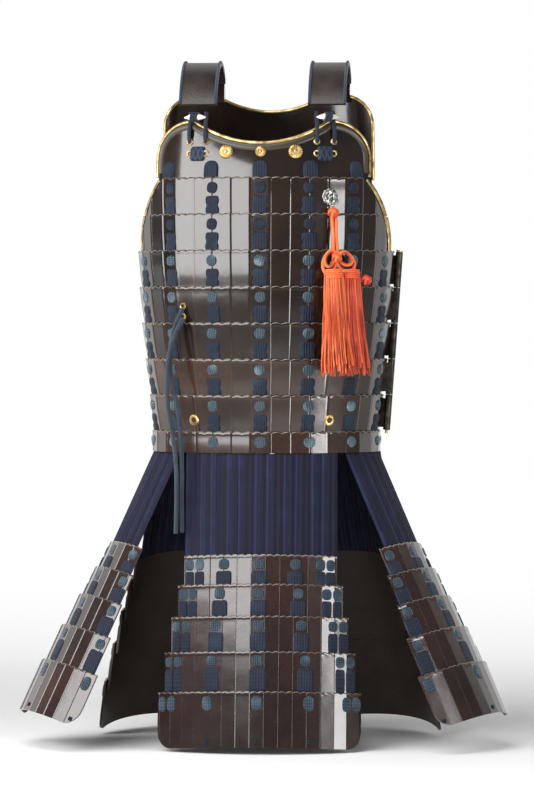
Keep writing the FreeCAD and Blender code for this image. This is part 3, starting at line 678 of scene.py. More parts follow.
class Repeater:
    """Repeats one template over many places with Geometry Nodes."""

    def __init__(self, name: str, template: bpy.types.Object, material: bpy.types.Material) -> None:
        """Remember what is repeated.

        Args:
            name: name of the finished piece.
            template: what is repeated; it is removed at the end.
            material: finish of every copy.
        """
        self.name = name
        self.template = template
        self.material = material
        self.places: list[tuple[Matrix, tuple[float, float, float]]] = []

    def add(self, place: Matrix, size: tuple[float, float, float] = (1.0, 1.0, 1.0)) -> None:
        """Add one place with its size along the local axes."""
        self.places.append((place, size))

    def tree(self) -> tuple[bpy.types.NodeTree, str]:
        """Build the node tree.

        Returns:
            The tree, and the identifier of its input for the size of every copy.
        """
        tree = bpy.data.node_groups.new(f"{self.name}_repeat", "GeometryNodeTree")
        face = tree.interface
        face.new_socket("Geometry", in_out="INPUT", socket_type="NodeSocketGeometry")
        scale = face.new_socket("Piece size", in_out="INPUT", socket_type="NodeSocketFloat")
        scale.default_value = 1.0
        face.new_socket("Geometry", in_out="OUTPUT", socket_type="NodeSocketGeometry")
        nodes, links = tree.nodes, tree.links
        start, end = nodes.new("NodeGroupInput"), nodes.new("NodeGroupOutput")
        source = nodes.new("GeometryNodeObjectInfo")
        source.inputs["Object"].default_value = self.template
        turn, size = (nodes.new("GeometryNodeInputNamedAttribute") for _ in range(2))
        turn.data_type = size.data_type = "FLOAT_VECTOR"
        turn.inputs["Name"].default_value = "turn"
        size.inputs["Name"].default_value = "size"
        whole = nodes.new("ShaderNodeVectorMath")
        whole.operation = "SCALE"
        links.new(size.outputs[0], whole.inputs[0])
        links.new(start.outputs["Piece size"], whole.inputs["Scale"])
        euler = nodes.new("FunctionNodeEulerToRotation")
        links.new(turn.outputs[0], euler.inputs[0])
        copies = nodes.new("GeometryNodeInstanceOnPoints")
        links.new(start.outputs["Geometry"], copies.inputs["Points"])
        links.new(source.outputs["Geometry"], copies.inputs["Instance"])
        links.new(euler.outputs[0], copies.inputs["Rotation"])
        links.new(whole.outputs[0], copies.inputs["Scale"])
        real = nodes.new("GeometryNodeRealizeInstances")
        finish = nodes.new("GeometryNodeSetMaterial")
        finish.inputs["Material"].default_value = self.material
        links.new(copies.outputs[0], real.inputs[0])
        links.new(real.outputs[0], finish.inputs["Geometry"])
        links.new(finish.outputs[0], end.inputs[0])
        return tree, scale.identifier

    def build(self) -> bpy.types.Object:
        """Repeat the template and return the result as a plain mesh object.

        Returns:
            The finished piece.
        """
        mesh = bpy.data.meshes.new(self.name)
        mesh.from_pydata([place.to_translation() for place, _ in self.places], [], [])
        turns = mesh.attributes.new("turn", "FLOAT_VECTOR", "POINT")
        sizes = mesh.attributes.new("size", "FLOAT_VECTOR", "POINT")
        for number, (place, size) in enumerate(self.places):
            turns.data[number].vector = tuple(place.to_euler())
            sizes.data[number].vector = size
        carrier = bpy.data.objects.new(self.name, mesh)
        bpy.context.scene.collection.objects.link(carrier)
        tree, size_input = self.tree()
        modifier = carrier.modifiers.new("repeat", "NODES")
        modifier.node_group = tree
        modifier[size_input] = 1.0
        graph = bpy.context.evaluated_depsgraph_get()
        graph.update()
        result = bpy.data.meshes.new_from_object(carrier.evaluated_get(graph))
        carrier.modifiers.clear()
        carrier.data = result
        bpy.data.objects.remove(self.template)
        result.name = self.name
        result.shade_smooth()
        return carrier


def pillow(name: str, power: float = 4.0, steps: int = 8, dome: float = 0.0,
           waist: float = 0.0) -> bpy.types.Object:
    """Make a unit lace pad: 1 mm half width and half height, standing 1 mm off its face.

    Args:
        name: the template's name.
        power: 2 gives a round pad and 4 or more a square one.
        steps: rings and spokes.
        dome: how much the top of the pad is rounder than its foot, 0 to 1.
        waist: how much the pad is drawn in half way up, as a share of its width.

    Returns:
        The template, whose UV map runs across and along it.
    """
    spokes = steps * 4
    points, uvs, faces = [(0.0, -1.0, 0.0)], [(0.5, 0.5)], []
    for ring in range(1, steps + 1):
        share = ring / steps
        for spoke in range(spokes):
            angle = math.tau * spoke / spokes
            c, s = math.cos(angle), math.sin(angle)
            bend = 2.0 + (power - 2.0) * (1.0 if s < 0 else 1.0 - dome)
            reach = (abs(c) ** bend + abs(s) ** bend) ** (-1.0 / bend)
            x, z = share * reach * c, share * reach * s
            drawn = waist * math.exp(-((z + 0.05) / 0.22) ** 2)
            x *= 1.0 - drawn
            rise = (1.0 - share ** 5) ** 0.5 * (1.0 - 1.6 * drawn)
            points.append((x, -rise, z))
            uvs.append((0.5 + x / 2, 0.5 + z / 2))
    for spoke in range(spokes):
        faces.append((0, 1 + spoke, 1 + (spoke + 1) % spokes))
    for ring in range(steps - 1):
        base = 1 + ring * spokes
        for spoke in range(spokes):
            nxt = (spoke + 1) % spokes
            faces.append((base + spoke, base + spokes + spoke, base + spokes + nxt, base + nxt))
    last = 1 + (steps - 1) * spokes
    faces.append(tuple(last + spoke for spoke in range(spokes)))
    return outward(mesh_object(name, np.array(points) * MM, faces, [], np.array(uvs)))


@dataclass
class Scales:
    """The relief that makes a row look like many flat, overlapping scales."""

    pitch: float = 23.1
    shift: float = 1.6
    step: float = 0.75
    bevel: float = 2.4
    bumps: int = 2
    bump_height: float = 1.9
    near_edge: tuple[float, ...] = (0.0, 0.1, 0.3, 0.6, 0.95, 1.35, 1.7, 2.6)

    def columns(self, low: float, high: float) -> np.ndarray:
        """Give the places along a row, fine at each seam.

        Args:
            low: where the row starts.
            high: where it ends.

        Returns:
            Places in millimetres from the row's middle, in order.
        """
        first = math.floor((low - self.shift) / self.pitch) - 1
        last = math.ceil((high - self.shift) / self.pitch) + 1
        inner = [0.06, 0.9] + [self.pitch * share for share in (0.2, 0.35, 0.5, 0.65, 0.8)]
        inner += [self.pitch - edge for edge in self.near_edge]
        places = [self.shift + (number + 0.5) * self.pitch + place
                  for number in range(first, last + 1) for place in inner]
        places = np.unique(np.round(places, 4))
        inside = places[(places > low + 0.3) & (places < high - 0.3)]
        return np.concatenate([[low], inside, [high]])

    def inside(self, along: np.ndarray) -> np.ndarray:
        """Give how far a place is from the edge where its scale starts."""
        place = (along - self.shift - self.pitch / 2) % self.pitch
        return np.where(place < 1e-3, self.pitch, place)

    def relief(self, along: np.ndarray, radius: np.ndarray | float) -> np.ndarray:
        """Give how far the surface stands out at places along a row.

        Args:
            along: places in millimetres from the row's middle.
            radius: how the row bends there; each scale stays flat.

        Returns:
            Millimetres outside the row's face.
        """
        place = self.inside(along)
        share = place / self.pitch
        flat = (self.pitch / 2) ** 2 / (2 * np.asarray(radius)) * (1 - 4 * share * (1 - share))
        left = np.clip(1 - (self.pitch - place) / self.bevel, 0, 1)
        fall = (self.step + 0.35) * (0.75 * left + 0.25 * (1 - np.sqrt(np.clip(1 - left ** 2, 0, 1))))
        return flat + self.step * share - fall

    def heads(self, along: np.ndarray) -> np.ndarray:
        """Give how far the scale heads rise above the row's straight top.

        Args:
            along: places in millimetres from the row's middle.

        Returns:
            Millimetres above the top.
        """
        width = self.pitch / self.bumps
        phase = (self.inside(along) / width) % 1.0
        return self.bump_height * np.sqrt(np.clip(1 - (2 * phase - 1) ** 2, 0, 1))

    def wear_and_glint(self, along: np.ndarray) -> np.ndarray:
        """Give where the scales' edges are rubbed."""
        return np.exp(-((self.pitch - self.inside(along) - 0.5) / 0.5) ** 2)


@dataclass(frozen=True)
class Outline:
    """The outline of a plate with round shoulders and a scooped neck, seen from the front."""

    half: float
    top: float
    corner: float
    scoop: float
    scoop_drop: float
    foot: float

    def edge(self, x: np.ndarray, inset: float = 0.0) -> np.ndarray:
        """Give the drop of the top edge at a distance from the middle.

        Args:
            x: distances from the middle.
            inset: how far inside the outline.

        Returns:
            Drops below the shoulder.
        """
        x = np.abs(np.asarray(x, dtype=float))
        corner, scoop = self.corner - inset, self.scoop + inset
        past = np.clip(x - (self.half - self.corner), 0, corner)
        top = self.top + self.corner - np.sqrt(corner ** 2 - past ** 2)
        inside = x < scoop
        neck = self.scoop_drop - self.scoop + np.sqrt(np.where(inside, scoop ** 2 - x ** 2, 0))
        return np.where(inside, np.maximum(top, neck), top)

    def trace(self, inset: float) -> tuple[np.ndarray, np.ndarray]:
        """Give the outline from one foot over the neck to the other, as x and drop.

        Args:
            inset: how far inside the outline.

        Returns:
            Distances from the middle, and drops.
        """
        side = np.linspace(self.foot - 2, self.top + self.corner, 6)
        spread = np.linspace(0, 1.5, 22)
        round_x = self.half - self.corner + (self.corner - inset) * np.cos(spread)
        inward = np.concatenate([round_x[1:], np.linspace(round_x[-1], 0, 30)[1:]])
        x = np.concatenate([np.full(6, self.half - inset), inward])
        drop = np.concatenate([side, self.edge(inward, inset)])
        return np.concatenate([x, -x[-2::-1]]), np.concatenate([drop, drop[-2::-1]])


@dataclass
class Trunk:
    """The two halves of the trunk: plates, rows, lacing and rims."""

    finishes: Finishes
    widths: tuple[float, ...] = (138, 147, 149, 150, 148.5, 145.5, 141.5, 137, 133.5, 133)
    depths: tuple[float, ...] = (100, 113, 117.5, 120, 120.5, 119, 116, 112.5, 110, 110)
    breast_top: float = 68.0
    breast_foot: float = 135.0
    row_pitch: float = 42.0
    last_row: float = 24.0
    overlap: float = 7.0
    lap: float = 2.9
    plate: float = 2.0
    half_gap: float = 0.6
    rim: float = 3.2
    breast_shape: Outline = Outline(125.0, 68.0, 44.0, 129.0, 93.5, 135.0)
    back_shape: Outline = Outline(125.0, 30.0, 40.0, 118.0, 48.0, 135.0)
    back_top: tuple[float, float] = (132.0, 92.0)
    arm_half: float = 146.0
    arm_corner: float = 127.0
    arm_top: float = 84.0
    lace_pitch: float = 57.0
    lace_half: float = 9.0
    lace_tall: float = 11.2
    lace_drop: float = 31.5
    head_half: float = 7.0
    head_tall: float = 6.8
    head_drop: float = 11.7
    pad_stand: float = 2.9
    head_fade: float = 9.0
    lip: float = 0.35
    turned_in: float = 0.8
    barrel: float = 0.55
    rim_radius: float = 2.0
    drop_steps: tuple[float, ...] = (0.0, 0.5, 1.4, 3.2, 5.0, 9.0, 14.0, 19.0, 24.0, 29.0, 34.0, 39.0,
                                     44.0, 49.0)
    scales: Scales = field(default_factory=Scales)

    def __post_init__(self) -> None:
        """Work out the drops of the levels."""
        rows = [self.breast_foot + self.row_pitch * n for n in range(LAST_ROW)]
        self.drops = [self.breast_top] + rows + [rows[-1] + self.last_row]

    def ellipse(self, row: int, drop: np.ndarray) -> tuple[np.ndarray, np.ndarray]:
        """Give the half width and half depth of a row's outer face at a drop.

        Args:
            row: the row, 0 for the breast plate.
            drop: how far below the shoulder.

        Returns:
            Half widths and half depths.
        """
        pitch = self.drops[row + 1] - self.drops[row]
        lap = 0.0 if row == LAST_ROW else self.lap
        share = (np.asarray(drop, dtype=float) - self.drops[row]) / pitch
        width = self.widths[row] + (self.widths[row + 1] - lap - self.widths[row]) * share
        depth = self.depths[row] + (self.depths[row + 1] - lap - self.depths[row]) * share
        return width, depth

    def angle_at(self, row: int, along: np.ndarray) -> np.ndarray:
        """Turn a length along a row, from its middle, into an angle of its ellipse.

        Args:
            row: the row.
            along: lengths from its middle.

        Returns:
            Angles of the ellipse.
        """
        width, depth = self.widths[row], self.depths[row]
        turn = np.linspace(-math.pi / 2, math.pi / 2, 721)
        step = np.hypot(width * np.cos(turn), depth * np.sin(turn))
        run = np.concatenate([[0.0], np.cumsum((step[1:] + step[:-1]) / 2 * np.diff(turn))])
        run -= run[360]
        return np.interp(along, run, turn)

    def reach(self, row: int) -> float:
        """Give the length of a quarter of a row.

        Args:
            row: the row.

        Returns:
            The length, in millimetres.
        """
        width, depth = self.widths[row], self.depths[row]
        turn = np.linspace(0, math.pi / 2, 361)
        step = np.hypot(width * np.cos(turn), depth * np.sin(turn))
        return float(((step[1:] + step[:-1]) / 2 * np.diff(turn)).sum())

    def points(self, row: int, half: Half, turn: np.ndarray, drop: np.ndarray,
               out: np.ndarray | float) -> np.ndarray:
        """Give points of a row's face, or off it.

        Args:
            row: the row, 0 for the breast plate.
            half: which half.
            turn: angles of the ellipse from the half's middle.
            drop: how far below the shoulder.
            out: how far outside the face.

        Returns:
            Points in millimetres.
        """
        width, depth = self.ellipse(row, drop)
        turn = np.asarray(turn) + half.turn
        normal = np.stack([np.sin(turn) / width, -np.cos(turn) / depth], -1)
        normal /= np.linalg.norm(normal, axis=-1)[..., None]
        x = width * np.sin(turn) + normal[..., 0] * out
        y = -depth * np.cos(turn) + normal[..., 1] * out
        return np.stack([x, y, -np.asarray(drop, dtype=float) + 0 * x], -1)

    def seat(self, row: int, half: Half, turn: float, drop: float, out: float = 0.0) -> Matrix:
        """Give the local frame of a spot on a row: -Y points out of it, Z runs up it.

        Args:
            row: the row.
            half: which half.
            turn: angle from the half's middle.
            drop: how far below the shoulder.
            out: how far outside the face.

        Returns:
            The frame, in metres.
        """
        width, depth = (float(v) for v in self.ellipse(row, drop))
        angle = turn + half.turn
        point = self.points(row, half, np.array(turn), np.array(drop), out)
        yaw = math.atan2(math.sin(angle) * depth, math.cos(angle) * width)
        pitch = self.drops[row + 1] - self.drops[row]
        lean = math.atan2(self.depths[row] - self.depths[row + 1] + self.lap, pitch)
        return (Matrix.Translation(Vector(point) * MM) @ Matrix.Rotation(yaw, 4, "Z")
                @ Matrix.Rotation(lean, 4, "X"))

    def across(self, row: int, x: float, drop: float) -> float:
        """Turn a distance from the middle plane into an angle of the row's ellipse."""
        width, _ = self.ellipse(row, drop)
        return math.asin(max(-1.0, min(1.0, x / float(width))))

    def arm_edge(self, drop: np.ndarray, inset: float = 0.0) -> np.ndarray:
        """Give the half width that the arm openings leave at a drop.

        Args:
            drop: how far below the shoulder.
            inset: how far inside the edge.

        Returns:
            Half widths.
        """
        radius = self.arm_corner - inset
        below = np.clip(self.arm_top + self.arm_corner - np.asarray(drop, dtype=float), 0, radius)
        return self.arm_half - self.arm_corner + np.sqrt(radius ** 2 - below ** 2)

    def bend(self, row: int, turn: np.ndarray) -> np.ndarray:
        """Give how a row bends at an angle of its ellipse, as a radius."""
        width, depth = self.widths[row], self.depths[row]
        return ((width * np.cos(turn)) ** 2 + (depth * np.sin(turn)) ** 2) ** 1.5 / (width * depth)

    def row_plate(self, row: int, half: Half, name: str) -> bpy.types.Object:
        """Build one row of a half with its scales.

        Args:
            row: the row.
            half: which half.
            name: the piece's name.

        Returns:
            The row.
        """
        quarter = self.reach(row) - self.half_gap
        along = self.scales.columns(-quarter, quarter)
        foot = self.drops[row + 1] + (0 if row == LAST_ROW else self.overlap)
        top = self.drops[row]
        steps = np.array(self.drop_steps)
        steps = np.unique(np.append(steps[steps < foot - top - 1], foot - top))
        drop = top + steps[:, None] + 0 * along[None, :]
        near = np.clip(1 - steps / self.head_fade, 0, 1)[:, None]
        drop = drop - self.scales.heads(along)[None, :] * near + self.scales.bump_height * near * 0.4
        turn = self.angle_at(row, along)[None, :] + 0 * drop
        if row in ARM_ROWS:
            width, _ = self.ellipse(row, drop)
            limit = np.arcsin(np.clip(self.arm_edge(drop, self.rim) / width, 0, 1))
            turn = np.clip(turn, -limit, limit)
        bend = self.bend(row, self.angle_at(row, along))
        relief = self.scales.relief(along, bend)[None, :] + 0 * drop
        lip = self.lip * np.exp(-((steps - 1.7) / 1.2) ** 2)[:, None]
        edge = -self.turned_in * np.clip(1 - steps / 1.0, 0, 1)[:, None] ** 2
        barrel = self.barrel * np.sin(math.pi * np.clip(steps / self.row_pitch, 0, 1))[:, None]
        outer = self.points(row, half, turn, drop, relief + lip + edge + barrel)
        inner = self.points(row, half, turn, drop, -self.plate)
        # Pale share for the lacquer: a faint rubbed line at each seam, and a painted glint of light along
        # the scale heads at the top of the row.
        wear_and_glint = self.scales.wear_and_glint(along)[None, :] * 0.06 + np.exp(-(steps / 0.7) ** 2)[:, None] * 0.7
        lay = np.stack([along[None, :] / 100 + 0 * drop, drop / 100], -1)
        finish = self.finishes.trunk if row < 6 else self.finishes.lower
        return tidy(slab(name, outer, inner, [finish, self.finishes.liner], lay, wear_and_glint + 0 * drop))

    def breast(self) -> bpy.types.Object:
        """Build the smooth breast plate with its round corners and neckline.

        Returns:
            The plate.
        """
        shape = self.breast_shape
        half = shape.half - self.rim
        x = np.concatenate([np.arange(0, half - 10, 3.0), np.linspace(half - 9.5, half, 14)])
        x = np.concatenate([-x[:0:-1], x])
        top = shape.edge(x, self.rim)
        share = np.concatenate([[0, 0.02, 0.06], np.linspace(0.14, 1, 12)])
        drop = top[None, :] + share[:, None] * (self.breast_foot + self.overlap - top)[None, :]
        width, _ = self.ellipse(0, drop)
        turn = np.arcsin(np.clip(x[None, :] / width, -1, 1))
        swell = 1.2 * np.sin(math.pi * share)[:, None] * np.cos(x / half * math.pi / 2)[None, :]
        outer = self.points(0, Half.FRONT, turn, drop, swell)
        inner = self.points(0, Half.FRONT, turn, drop, -self.plate)
        wear_and_glint = 0.3 * np.exp(-((share - 1.0) / 0.05) ** 2)[:, None] + 0 * drop
        lay = np.stack([x[None, :] / 100 + 0 * drop, drop / 100], -1)
        return slab("breast_plate_dressed", outer, inner,
                    [self.finishes.trunk, self.finishes.liner], lay, wear_and_glint)

    def rim_tube(self, name: str, row: int, half: Half, x: np.ndarray, drop: np.ndarray
                 ) -> bpy.types.Object:
        """Lay a gilt rim along an edge of a row.

        Args:
            name: the piece's name.
            row: the row that carries it.
            half: which half.
            x: distances from the middle.
            drop: drops below the shoulder.

        Returns:
            The rim.
        """
        turn = np.array([self.across(row, a, d) for a, d in zip(x, drop)])
        if half is Half.BACK:
            turn = -turn
        return tube(name, self.points(row, half, turn, drop, -0.2), self.rim_radius,
                    self.finishes.gilt, 10)

    def arm_rims(self, half: Half) -> list[bpy.types.Object]:
        """Build the gilt rims beside the arms of one half.

        Args:
            half: which half.

        Returns:
            One rim for each side of each row.
        """
        pieces = []
        for row in ARM_ROWS:
            end = self.drops[row + 1] - (1.5 if row == 1 else -1)
            drop = np.linspace(self.drops[row] + 1.5, end, 12)
            for hand in (-1, 1):
                edge = self.arm_edge(drop, self.rim / 2) * hand
                pieces.append(self.rim_tube(f"{half.value}_arm_rim_{row}_{hand}", row, half, edge, drop))
        return pieces

    def back_rim(self) -> bpy.types.Object:
        """Build the gilt rim of the back plate.

        Returns:
            The rim.
        """
        x, drop = self.back_shape.trace(self.rim / 2)
        part = (drop - self.back_shape.top) / (self.breast_foot - self.back_shape.top)
        width = self.back_top[0] + (self.widths[1] - self.lap - self.back_top[0]) * part
        depth = self.back_top[1] + (self.depths[1] - self.lap - self.back_top[1]) * part
        path = np.stack([x, (depth - 0.2) * np.sqrt(1 - (x / width) ** 2), -drop], 1)
        return tube("back_rim", path, self.rim_radius, self.finishes.gilt, 10)

    def front_rims(self) -> bpy.types.Object:
        """Build the gilt rims of the front.

        Returns:
            The rims as one piece.
        """
        x, drop = self.breast_shape.trace(self.rim / 2)
        pieces = [self.rim_tube("breast_rim", 0, Half.FRONT, x, drop)]
        return join("front_rims_dressed", pieces + self.arm_rims(Half.FRONT))

    def rolled_edge(self) -> bpy.types.Object:
        """Build the dark rolled edge that lies inside the breast plate's rim.

        Returns:
            The edge.
        """
        x, drop = self.breast_shape.trace(self.rim + 3.6)
        keep = drop < self.breast_foot - 3
        turn = np.array([self.across(0, a, d) for a, d in zip(x[keep], drop[keep])])
        path = self.points(0, Half.FRONT, turn, drop[keep], 0.4)
        return tube("rolled_edge", path, 3.9, self.finishes.olive, 14, 0.45, Vector((0.0, -1.0, 0.12)))

    def pads(self, half: Half) -> bpy.types.Object:
        """Build the lacing of one half: round pads over square ones, in columns.

        Args:
            half: which half.

        Returns:
            All its lacing as one piece.
        """
        label = half.value
        rounds = Repeater(f"{label}_round_lacing", pillow("round_pad", 2.3), self.finishes.lit_lace_head)
        darker = Repeater(f"{label}_upper_lacing", pillow("upper_pad", 2.6), self.finishes.lace)
        squares = Repeater(f"{label}_square_lacing", pillow("square_pad", 6.0, waist=0.16),
                           self.finishes.lace)
        chance = np.random.default_rng(41 if half is Half.FRONT else 43)
        for row in range(1, LAST_ROW + 1):
            top = self.drops[row]
            for column in range(-3, 4):
                turn = float(self.angle_at(row, column * self.lace_pitch + chance.uniform(-0.7, 0.7)))
                width, _ = self.ellipse(row, top + 30)
                reach = abs(math.sin(turn)) * float(width)
                if row in ARM_ROWS and reach > float(self.arm_edge(top + 18)) - 14:
                    continue
                fat = chance.uniform(0.94, 1.06, 3)
                roll = Matrix.Rotation(chance.uniform(-0.25, 0.25), 4, "Y")
                head = (self.head_half * fat[0], self.pad_stand * fat[1], self.head_tall * fat[2])
                # Heads on the arm rows keep the plain lace; the lower heads take the paler copy, whose
                # colour is painted highlight.
                heads = darker if row in ARM_ROWS else rounds
                heads.add(self.seat(row, half, turn, top + self.head_drop) @ roll, head)
                if row < LAST_ROW:
                    roll = Matrix.Rotation(chance.uniform(-0.05, 0.05), 4, "Y")
                    squares.add(self.seat(row, half, turn, top + self.lace_drop) @ roll,
                                (self.lace_half * fat[0], self.pad_stand * fat[1], self.lace_tall))
        pieces = [rounds.build(), darker.build(), squares.build()]
        if half is Half.FRONT:
            domes = Repeater("breast_lacing", pillow("domed_pad", 7.0, 8, 0.9), self.finishes.lace)
            for column in (-2, -1, 0, 1, 2):
                turn = float(self.angle_at(0, column * self.lace_pitch * 0.985))
                domes.add(self.seat(0, half, turn, self.breast_foot - 9.5, 0.5), (9.3, 2.6, 10.8))
            pieces.append(domes.build())
        return join(f"{label}_lacing", pieces)

    def build(self) -> None:
        """Dress both halves."""
        names = {1: "upper_lame_1", 2: "upper_lame_2", 3: "body_lame_1", 4: "body_lame_2",
                 5: "body_lame_3", 6: "body_lame_4", 7: "body_lame_5", 8: "body_lame_6"}
        for half in Half:
            for row, row_name in names.items():
                node = f"{half.value}_{row_name}"
                piece = self.row_plate(row, half, f"{node}_dressed")
                settle(piece, half.body, "trunk_lacquer", node)
            settle(self.pads(half), half.body, "blue_cord")
        settle(self.breast(), Half.FRONT.body, "trunk_lacquer", "breast_plate")
        settle(self.rolled_edge(), Half.FRONT.body, "trunk_lacquer")
        settle(self.front_rims(), Half.FRONT.body, "gilt", "front_rims")
        settle(join("back_rims", self.arm_rims(Half.BACK) + [self.back_rim()]), Half.BACK.body, "gilt")


def settle(piece: bpy.types.Object, body: str, slot: str, *nodes: str) -> bpy.types.Object:
    """Hang a finished piece on its body and hide the nodes that it stands for.

    Args:
        piece: the finished piece.
        body: the body that it moves with.
        slot: the record's material slot; not used.
        nodes: the nodes that it stands for.

    Returns:
        The piece.
    """
    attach(piece, body)
    if nodes:
        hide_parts(*nodes)
    log.info("%s: %d faces on %s", piece.name, len(piece.data.polygons)
             if piece.type == "MESH" else 0, body)
    return piece


@dataclass
class SkirtPanel:
    """One panel of the skirt: its suspension laces and five ranks of scales."""

    finishes: Finishes
    name: str
    joints: dict[str, dict]
    radius: float
    columns: int
    strand_pitch: float = 6.7
    strand_half: float = 3.75
    plate: float = 2.0
    foot_corner: float = 20.0
    lace_half: float = 8.0
    edge_lace_half: float = 13.0
    head_fade: float = 8.0
    lip: float = 0.3
    turned_in: float = 0.6
    scales: Scales = field(default_factory=lambda: Scales(
        16.5, 0.0, 0.6, 1.1, 2, 1.6, (0.0, 0.1, 0.25, 0.5, 0.8, 1.1, 1.4, 2.0)))

    def __post_init__(self) -> None:
        """Work out the panel's frame from its joints."""
        swing = self.joints[f"skirt_{self.name}_swing"]
        slide = self.joints[f"skirt_{self.name}_gather_2"]
        side = -Vector(swing["axis"]).normalized()
        up = Vector(slide["axis"]).normalized()
        inward = up.cross(side)
        self.frame = Matrix((side, inward, up)).transposed().to_4x4()
        self.frame.translation = Vector(swing["pos_m"])

    def local(self, node: str) -> np.ndarray:
        """Give a node's points in the panel's frame, in millimetres.

        Args:
            node: the node's name.

        Returns:
            Rows of x, y, z.
        """
        vertices = bpy.data.objects[node].data.vertices
        points = np.empty(len(vertices) * 3)
        vertices.foreach_get("co", points)
        turned = self.frame.inverted()
        matrix = np.array(turned)
        return (points.reshape(-1, 3) @ matrix[:3, :3].T + matrix[:3, 3]) / MM

    def place(self, angle: np.ndarray, radius: np.ndarray, height: np.ndarray) -> np.ndarray:
        """Turn cylinder coordinates of the panel into points of the part's frame, in millimetres.

        Args:
            angle: angles from the panel's middle.
            radius: distances from its axis.
            height: heights over its hinge line.

        Returns:
            The points.
        """
        x = radius * np.sin(angle)
        y = self.radius - radius * np.cos(angle)
        local = np.stack(np.broadcast_arrays(x, y, height), -1)
        matrix = np.array(self.frame)
        return local @ matrix[:3, :3].T + matrix[:3, 3] / MM

    def seat(self, angle: float, radius: float, height: float) -> Matrix:
        """Give the local frame of a spot on the panel, with -Y pointing out."""
        here = Vector((radius * math.sin(angle), self.radius - radius * math.cos(angle), height)) * MM
        return self.frame @ Matrix.Translation(here) @ Matrix.Rotation(angle, 4, "Z")

    def size(self, node: str) -> tuple[float, float, float, float, float]:
        """Measure a node: inner radius, outer radius, half angle, top and foot.

        Args:
            node: the node's name.

        Returns:
            The five measures, in that order, in millimetres and radians.
        """
        points = self.local(node)
        away = self.radius - points[:, 1]
        radius = np.hypot(points[:, 0], away)
        angle = np.arctan2(points[:, 0], away)
        return (float(radius.min()), float(radius.max()), float(angle.max()),
                float(points[:, 2].max()), float(points[:, 2].min()))

    def lame(self, rank: int) -> bpy.types.Object:
        """Build one rank with its scales; the last one has round foot corners.

        Args:
            rank: the rank, from 1 at the top.

        Returns:
            The rank.
        """
        inner_radius, _, half_angle, top, foot = self.size(f"skirt_{self.name}_lame_{rank}")
        face = inner_radius + self.plate
        reach = half_angle * face
        along = self.scales.columns(-reach, reach)
        angle = along / face
        lows = np.full(len(along), foot)
        if rank == LAST_RANK:
            corner = self.foot_corner
            past = np.clip(np.abs(along) - reach + corner, 0, corner)
            lows = foot + corner - np.sqrt(corner ** 2 - past ** 2)
        fall = top - foot
        share = np.unique(np.concatenate([np.array([0, 0.5, 1.3, 3.0, 5.0, 8.0]) / fall,
                                          np.linspace(0.25, 1, 6), [1 - 1.5 / fall]]))
        height = top - share[:, None] * (top - lows)[None, :]
        near = np.clip(1 - share * fall / self.head_fade, 0, 1)[:, None]
        height = height + (self.scales.heads(along) - 0.5 * self.scales.bump_height)[None, :] * near
        relief = self.scales.relief(along, face)[None, :]
        lip = self.lip * np.exp(-((share * fall - 1.5) / 1.1) ** 2)[:, None]
        edge = -self.turned_in * np.clip(1 - share * fall / 0.8, 0, 1)[:, None] ** 2
        outer = self.place(angle[None, :] + 0 * height, face + relief + lip + edge, height)
        inner = self.place(angle[None, :] + 0 * height, inner_radius + 0 * height, height)
        # Pale share for the lacquer: a faint rubbed line at each seam, and a painted glint of light along
        # the scale heads, strongest on the first rank.
        head_glint = 1.4 if rank == 1 else 0.6
        wear_and_glint = (self.scales.wear_and_glint(along)[None, :] * 0.06
                + np.exp(-(share * fall / 0.8) ** 2)[:, None] * head_glint + 0 * height)
        lay = np.stack([along[None, :] / 100 + 0 * height, height / 100], -1)
        return tidy(slab(f"skirt_{self.name}_lame_{rank}_dressed", outer, inner,
                         [self.finishes.skirt, self.finishes.liner], lay, wear_and_glint))

    def column_places(self, rank: int) -> list[tuple[float, float]]:
        """Give the angle and half width of each column of laces on a rank.

        Args:
            rank: the rank, from 1 at the top.

        Returns:
            One pair for each column.
        """
        inner_radius, _, half_angle, _, _ = self.size(f"skirt_{self.name}_lame_{rank}")
        face = inner_radius + self.plate
        places = []
        for column in range(self.columns):
            wide = self.columns > 3 and column in (0, self.columns - 1)
            half = self.edge_lace_half if wide else self.lace_half
            edge = half_angle - (half + 1.0) / face
            places.append(((2 * column / (self.columns - 1) - 1) * edge, half))
        return places

    def lacing(self, rank: int) -> bpy.types.Object:
        """Build the laces of one rank.

        Args:
            rank: the rank, from 1 at the top.

        Returns:
            Its laces as one piece.
        """
        inner_radius, _, _, top, foot = self.size(f"skirt_{self.name}_lame_{rank}")
        face = inner_radius + self.plate
        label = f"skirt_{self.name}_lacing_{rank}"
        # The heads take the paler copy of the skirt lace, whose colour is painted highlight.
        heads = Repeater(f"{label}_heads", pillow("skirt_head", 2.8), self.finishes.skirt_head)
        feet = Repeater(f"{label}_feet", pillow("skirt_foot", 6.0), self.finishes.skirt_lace)
        chance = np.random.default_rng(60 + rank)
        tall = 6.6 if rank < LAST_RANK else 9.0
        for angle, half in self.column_places(rank):
            halves = (-half / 2, half / 2) if half > self.lace_half else (0.0,)
            for shift in halves:
                width = half * 0.5 - 0.4 if len(halves) == 2 else 9.2
                small = min(width, 6.4)
                spot = angle + (shift + chance.uniform(-0.4, 0.4)) / face
                fat = chance.uniform(0.94, 1.04, 2)
                heads.add(self.seat(spot, face, top - 4.0 - tall), (small * fat[0], 1.75, tall * fat[1]))
                if rank < LAST_RANK:
                    low, high = foot + 12.0, top - 6.0 - 2 * tall
                    middle, size = (low + high) / 2, (high - low) / 2 + 1.2
                    feet.add(self.seat(spot, face, middle), (width * 1.04, 1.85, size))
                elif len(halves) == 1:
                    feet.add(self.seat(spot, face, foot + 7.0), (2.6, 1.7, 2.6))
        return join(label, [heads.build(), feet.build()])

